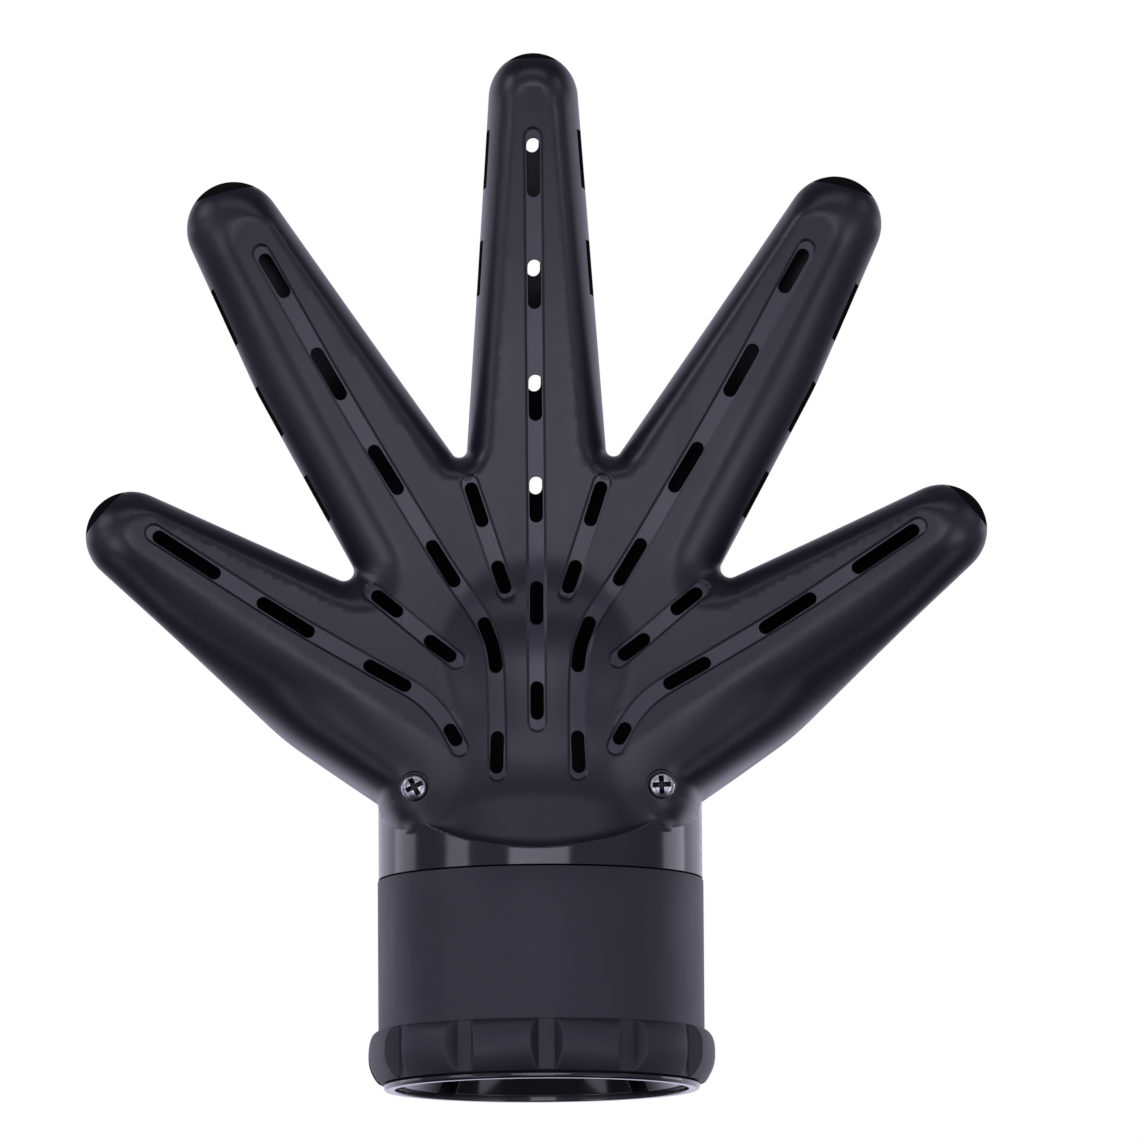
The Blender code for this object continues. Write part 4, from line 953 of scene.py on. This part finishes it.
def screw(name, node, cx, turn):
    """Pan head with a stamped cross recess, on a threaded shank."""
    y0 = SCREW_FLOOR_Y - 0.3
    head_r, head_h = 2.85, 1.7
    head = [(0.0, -head_h), (0.8, -head_h * 0.995), (1.5, -head_h * 0.965), (2.0, -head_h * 0.88), (2.4, -head_h * 0.73),
            (2.68, -head_h * 0.52), (2.81, -head_h * 0.3), (head_r, -head_h * 0.12), (2.82, 0.0)]
    prof = head + [(1.35, 0.0)]
    y = 0.4
    while y < 10.6:                      # thread crests as rings, standing for a shallow pitch
        prof += [(1.1, y), (1.34, y + 0.25), (1.34, y + 0.33), (1.1, y + 0.58)]
        y += 0.78
    prof += [(1.0, 11.0), (0.0, 11.8)]
    segs = 56
    verts = [(cx, y0 + prof[0][1], SCREW_Z)]
    for r, yy in prof[1:-1]:
        verts += [(cx + r * cos(2 * pi * k / segs), y0 + yy, SCREW_Z + r * sin(2 * pi * k / segs)) for k in range(segs)]
    verts.append((cx, y0 + prof[-1][1], SCREW_Z))
    faces = [(0, 1 + k, 1 + (k + 1) % segs) for k in range(segs)]
    for row in range(len(prof) - 3):
        b0, b1 = 1 + row * segs, 1 + (row + 1) * segs
        faces += [(b0 + k, b1 + k, b1 + (k + 1) % segs, b0 + (k + 1) % segs) for k in range(segs)]
    b = 1 + (len(prof) - 3) * segs
    faces += [(len(verts) - 1, b + (k + 1) % segs, b + k) for k in range(segs)]
    # the second slot holds the painted-shade material meant for the cross recess
    ob = new_mesh(name, verts, faces, [ZINC, RECESS_PAINTED_SHADE], 35)
    tools = []
    for k in range(2):
        a = radians(turn + 90 * k)
        top, bot = (2.05, 0.54), (0.85, 0.34)
        rings = []
        for (l, w), yy in ((top, y0 - head_h - 0.3), (top, y0 - head_h + 0.12), (bot, y0 - head_h + 1.15)):
            rings.append([(cx + px * cos(a) - pz * sin(a), yy, SCREW_Z + px * sin(a) + pz * cos(a))
                          for px, pz in ((l, w), (l, -w), (-l, -w), (-l, w))])
        vs = [v for r in rings for v in r]
        fs = [(0, 1, 2, 3), (11, 10, 9, 8)]
        for q in range(2):
            fs += [(4 * q + i, 4 * q + 4 + i, 4 * q + 4 + (i + 1) % 4, 4 * q + (i + 1) % 4) for i in range(4)]
        t = new_mesh(name + "_tool%d" % k, vs, fs, [RECESS_PAINTED_SHADE], 30)
        mod = ob.modifiers.new("recess%d" % k, 'BOOLEAN')
        mod.operation, mod.solver, mod.object = 'DIFFERENCE', 'EXACT', t
        tools.append(t)
    bake_modifiers(ob)
    for t in tools:
        bpy.data.objects.remove(t, do_unlink=True)
    ob.data.shade_smooth()
    ob.data.set_sharp_from_angle(angle=radians(35))
    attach(ob, "hand")
    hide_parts(node)
    return ob


screw("pan_screw_right", "shell_screw_right", SCREW_X, 3.0)
screw("pan_screw_left", "shell_screw_left", -SCREW_X, 27.0)

# =====================================================================  collar
LOBE_COUNT, VALLEY_PHASE = 12, 2.7
VALLEY_FLOOR_DEG, VALLEY_CREST_DEG, R_VALLEY = 2.8, 5.3, 34.1
R_BELLY, BELLY_Z, BELLY_TOP, R_BELLY_FOOT = 36.65, 7.0, 12.4, 33.0


def belly(z):
    """Side view of a grip lobe: a quick shoulder, then a long curve in to its foot."""
    if z >= BELLY_TOP:
        return R_COLLAR
    if z >= BELLY_Z:
        u = (z - BELLY_Z) / (BELLY_TOP - BELLY_Z)
        return R_COLLAR + (R_BELLY - R_COLLAR) * (1 - u ** 3) ** 0.625
    u = (BELLY_Z - z) / 6.6
    return R_BELLY_FOOT + (R_BELLY - R_BELLY_FOOT) * max(0.0, 1 - u * u) ** 0.8


def collar_radius(theta_deg, z):
    """Plain barrel above; below it twelve rounded grip lobes parted by narrow valleys."""
    pitch = 360.0 / LOBE_COUNT
    off = abs((theta_deg - VALLEY_PHASE - 270.0 + pitch / 2) % pitch - pitch / 2)
    cut = R_VALLEY + max(0.0, (off - VALLEY_FLOOR_DEG) / (VALLEY_CREST_DEG - VALLEY_FLOOR_DEG)) * (R_BELLY - R_VALLEY)
    b = belly(z)
    if z >= BELLY_TOP:
        return b
    k = 0.22                               # small rounding where the valley wall meets the lobe
    h = max(0.0, min(1.0, 0.5 - 0.5 * (b - cut) / k))
    return cut + (b - cut) * h - k * h * (1 - h)


def collar():
    pitch = 360.0 / LOBE_COUNT
    ang = []
    for i in range(LOBE_COUNT):
        c = VALLEY_PHASE + 270.0 + i * pitch
        offs = [-2.8, -1.4, 0, 1.4, 2.8, 3.2, 3.6, 4.0, 4.4, 4.75, 5.0, 5.3, 5.7, 6.5, 7.8, 9.4, 11.2, 13.1, 15.0,
                16.9, 18.8, 20.6, 22.2, 23.5, 24.3, 24.7, 25.0, 25.25, 25.6, 26.0, 26.4, 26.8]
        ang += [c + o for o in offs]
    zs = [COLLAR_TOP, COLLAR_TOP - 0.12, COLLAR_TOP - 0.35, 38.0, 30.0, 22.0, 16.0, 13.2, 12.6, BELLY_TOP,
          12.38, 12.32, 12.22, 12.08, 11.9, 11.68, 11.4, 11.0, 10.5, 9.9, 9.2, 8.4, 7.6, 6.8, 6.0, 5.2, 4.5, 3.9, 3.3, 2.8, 2.4,
          2.1, 1.85, 1.65, COLLAR_BOTTOM]
    verts = []
    n = 0
    for a in ang:
        col = []
        for i, z in enumerate(zs):
            r = collar_radius(a, z)
            if i == 0:
                r -= 0.35
            if i == 1:
                r -= 0.1
            if i == len(zs) - 1:
                r -= 0.3
            if i == len(zs) - 2:
                r -= 0.08
            col.append((r, z))
        col += [(R_COLLAR_IN + 0.2, COLLAR_BOTTOM), (R_COLLAR_IN, COLLAR_BOTTOM + 0.2), (R_COLLAR_IN, COLLAR_TOP - 0.2), (R_COLLAR_IN + 0.2, COLLAR_TOP)]
        n = len(col)
        verts += [(r * cos(radians(a)), r * sin(radians(a)), z) for r, z in col]
    faces = []
    m = len(ang)
    for k in range(m):
        b0, b1 = k * n, ((k + 1) % m) * n
        for i in range(n):
            j = (i + 1) % n
            faces.append((b0 + i, b0 + j, b1 + j, b1 + i))
    return new_mesh("scalloped_collar", verts, faces, [MATTE], 40)


cl = collar()
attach(cl, "collar")
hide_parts("grip_collar")

ring = revolve("mouth_ring", fillet([(31.0, 0.0), (33.0, 0.0), (33.3, 0.4), (33.3, 1.2), (32.3, 1.2), (32.3, 4.0), (31.3, 4.0), (31.0, 3.6)],
                                    [0.3, 0.25, 0.25, 0.2, 0.1, 0.15, 0.15, 0.1], 4), [GLOSS], 144)
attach(ring, "collar")
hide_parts("end_ring")

# =====================================================================  clamp jaws, pads
for dname, deg in (("front", 270.0), ("right", 0.0), ("back", 90.0), ("left", 180.0)):
    prof = fillet([(28.9, 1.2), (30.3, 1.2), (30.3, 2.4), (26.3, 9.5), (26.3, 29.7), (31.0, 29.7), (31.0, 32.0), (R_JAW, 32.0), (R_JAW, 9.2)],
                  [0.35, 0.4, 0.4, 1.5, 0.5, 0.3, 0.3, 0.4, 2.0], 4)
    jaw = revolve("jaw_shell_" + dname, prof, [GLOSS], 36, deg - JAW_HALF_DEG, deg + JAW_HALF_DEG, 30)
    bev = jaw.modifiers.new("edge", 'BEVEL')
    bev.width, bev.segments, bev.limit_method, bev.angle_limit = 0.00022, 2, 'ANGLE', radians(60)
    bake_modifiers(jaw)
    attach(jaw, "jaw_" + dname)
    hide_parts("clamp_jaw_" + dname)
    prof = [(R_JAW - GAP, 29.0), (R_JAW - GAP, 12.0), (23.5, 12.0), (23.25, 12.25)]
    z = 12.5
    while z < 28.2:                        # gripping ribs across the pad
        prof += [(23.02, z), (23.02, z + 0.5), (23.5, z + 0.75), (23.5, z + 1.15)]
        z += 1.4
    prof += [(23.1, 28.6), (23.25, 28.9), (23.5, 29.0)]
    pad = revolve("grip_pad_" + dname, prof[::-1], [RUBBER], 30, deg - 34, deg + 34, 40)
    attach(pad, "jaw_" + dname)
    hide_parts("jaw_pad_" + dname)

# carried-over nodes
for node, mat in (("jaw_carrier", INNER), ("cam_disc", MATTE), ("friction_washer", FIBRE), ("retaining_ring", SPRING),
                  ("jaw_slider_front", SPRING), ("jaw_slider_right", SPRING), ("jaw_slider_back", SPRING), ("jaw_slider_left", SPRING)):
    ob = NODES[node]
    for s in ob.material_slots:
        s.material = mat

# =====================================================================  stage, light, camera
fm, fnt, fb = principled("pale_floor", (0.86, 0.86, 0.87), 0.7)
mottle = noise(fnt, 1.6, 3.0, 0.5)
tinted(fnt, fb, mottle.outputs["Fac"], (0.84, 0.84, 0.85), (0.88, 0.88, 0.89))
fb.inputs["Emission Color"].default_value = (0.95, 0.95, 0.97, 1)
fb.inputs["Emission Strength"].default_value = 0.42
geo = fnt.nodes.new("ShaderNodeNewGeometry")
clear = fnt.nodes.new("ShaderNodeBsdfTransparent")
mix = fnt.nodes.new("ShaderNodeMixShader")
fnt.links.new(geo.outputs["Backfacing"], mix.inputs["Fac"])
fnt.links.new(fb.outputs["BSDF"], mix.inputs[1])
fnt.links.new(clear.outputs["BSDF"], mix.inputs[2])
fnt.links.new(mix.outputs["Shader"], fnt.nodes["Material Output"].inputs["Surface"])
fme = bpy.data.meshes.new("floor")
S = 6.0
fme.from_pydata([(-S, -S, -0.0004), (S, -S, -0.0004), (S, S, -0.0004), (-S, S, -0.0004)], [], [(0, 1, 2, 3)])
fme.materials.append(fm)
floor_ob = bpy.data.objects.new("floor", fme)
bpy.context.scene.collection.objects.link(floor_ob)
floor_ob.visible_shadow = False
floor_ob.visible_diffuse = False
floor_ob.visible_glossy = False
floor_ob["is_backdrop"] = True

world = bpy.data.worlds.new("studio")
bpy.context.scene.world = world
world.use_nodes = True
wn = world.node_tree
bg = wn.nodes["Background"]


def wmath(op, a, b=None, clamp=False):
    nd = wn.nodes.new("ShaderNodeMath")
    nd.operation = op
    nd.use_clamp = clamp
    for i, v in enumerate((a, b)):
        if v is None:
            continue
        if isinstance(v, (int, float)):
            nd.inputs[i].default_value = v
        else:
            wn.links.new(v, nd.inputs[i])
    return nd.outputs[0]


tc = wn.nodes.new("ShaderNodeTexCoord")
sp = wn.nodes.new("ShaderNodeSeparateXYZ")
wn.links.new(tc.outputs["Generated"], sp.inputs["Vector"])
X, Y, Z = sp.outputs["X"], sp.outputs["Y"], sp.outputs["Z"]
flat = wmath('SQRT', wmath('ADD', wmath('ADD', wmath('MULTIPLY', X, X), wmath('MULTIPLY', Y, Y)), 1e-5))
turn = wmath('ADD', wmath('MULTIPLY', wmath('DIVIDE', Y, flat), 0.5), 0.5)     # 0 in front of the object, 1 behind it
ramp = wn.nodes.new("ShaderNodeValToRGB")
STOPS = [(0.0, 0.42), (0.07, 0.42), (0.25, 0.44), (0.45, 0.28), (0.60, 0.28), (0.70, 0.36), (0.79, 0.95), (0.88, 1.15), (1.0, 0.85)]
while len(ramp.color_ramp.elements) < len(STOPS):
    ramp.color_ramp.elements.new(0.5)
for e, (pos, val) in zip(ramp.color_ramp.elements, STOPS):
    e.position = pos
for e, (pos, val) in zip(ramp.color_ramp.elements, STOPS):
    e.position = pos
    e.color = (val, val, val, 1)
wn.links.new(turn, ramp.inputs["Fac"])
band = wn.nodes.new("ShaderNodeMapRange")
band.interpolation_type = 'SMOOTHSTEP'
band.inputs["From Min"].default_value = 0.22
band.inputs["From Max"].default_value = 0.72
band.inputs["To Min"].default_value = 1.0
band.inputs["To Max"].default_value = 0.14
wn.links.new(wmath('ABSOLUTE', Z), band.inputs["Value"])
glow = wmath('MULTIPLY', ramp.outputs["Color"], band.outputs["Result"])
lp = wn.nodes.new("ShaderNodeLightPath")
seen = lp.outputs["Is Camera Ray"]
wn.links.new(wmath('ADD', wmath('MULTIPLY', glow, wmath('SUBTRACT', 1.0, seen)), seen), bg.inputs["Strength"])
tint = wn.nodes.new("ShaderNodeMix")
tint.data_type = 'RGBA'
wn.links.new(seen, tint.inputs[0])
tint.inputs[6].default_value = (0.96, 0.92, 1.16, 1)
tint.inputs[7].default_value = (1.0, 1.0, 1.0, 1)
wn.links.new(tint.outputs[2], bg.inputs["Color"])


def area(name, loc, target, size, power, size_y=None, color=(1, 1, 1)):
    li = bpy.data.lights.new(name, 'AREA')
    li.shape = 'RECTANGLE'
    li.size = size
    li.size_y = size_y or size
    li.energy = power
    li.color = color
    ob = bpy.data.objects.new(name, li)
    bpy.context.scene.collection.objects.link(ob)
    ob.location = loc
    d = Vector(target) - Vector(loc)
    ob.rotation_euler = d.to_track_quat('-Z', 'Y').to_euler()
    ob.visible_camera = False
    return ob


LIGHT_TINT = (0.97, 0.94, 1.10)


def softbox(name, azimuth, elevation, width_deg, height_deg, level, dist=2.6):
    """A rectangular softbox seen from the object at this bearing (0 is straight in front), with this brightness."""
    a, e = radians(azimuth), radians(elevation)
    loc = Vector((sin(a) * cos(e), -cos(a) * cos(e), sin(e))) * dist + Vector((0, 0, 0.1))
    w, h = 2 * dist * tan(radians(width_deg / 2)), 2 * dist * tan(radians(height_deg / 2))
    return area(name, loc, (0, 0, 0.1), w, level * pi * w * h, h, LIGHT_TINT)


softbox("front_strip", 0, 4.8, 42, 2.8, 4.8)
softbox("front_low", 0, -3.2, 20, 9, 2.2)
softbox("left_box", -60, 4.6, 18, 5, 2.4)
softbox("side_left", -112, 4.6, 26, 6, 1.3)
softbox("side_right", 112, 4.6, 26, 6, 1.9)
softbox("rim_left", -42, -17, 20, 22, 1.9)
softbox("rim_right", 42, -17, 20, 22, 1.9)
softbox("low_left", -62, -46, 16, 14, 1.1)
softbox("low_right", 62, -46, 16, 14, 1.1)
softbox("top_front", 0, 52, 60, 20, 1.0)
softbox("high_left", -72, 30, 26, 22, 1.8)
softbox("high_right", 74, 28, 20, 20, 0.8)

CAM_DIST, CAM_ELEV, CAM_AZ, CAM_ROLL = 2.5, -7.1, -0.8, -0.4
AIM = Vector((0.0071, 0.0, 0.110))
el, az = radians(CAM_ELEV), radians(CAM_AZ)
cam_data = bpy.data.cameras.new("view")
cam_data.sensor_width = 36.0
cam_data.lens = 36.0 * CAM_DIST / 0.2424
cam_data.clip_start, cam_data.clip_end = 0.05, 60.0
cam = bpy.data.objects.new("view", cam_data)
bpy.context.scene.collection.objects.link(cam)
offset = Vector((-sin(az) * cos(el), -cos(az) * cos(el), sin(el))) * CAM_DIST
cam.location = AIM + offset
quat = (-offset).to_track_quat('-Z', 'Y')
cam.rotation_mode = 'QUATERNION'
cam.rotation_quaternion = quat @ Matrix.Rotation(radians(CAM_ROLL), 3, 'Z').to_quaternion()
bpy.context.scene.camera = cam
bpy.context.scene.view_settings.view_transform = 'Standard'
bpy.context.scene.view_settings.look = 'None'

low, high = [list(v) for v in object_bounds()]
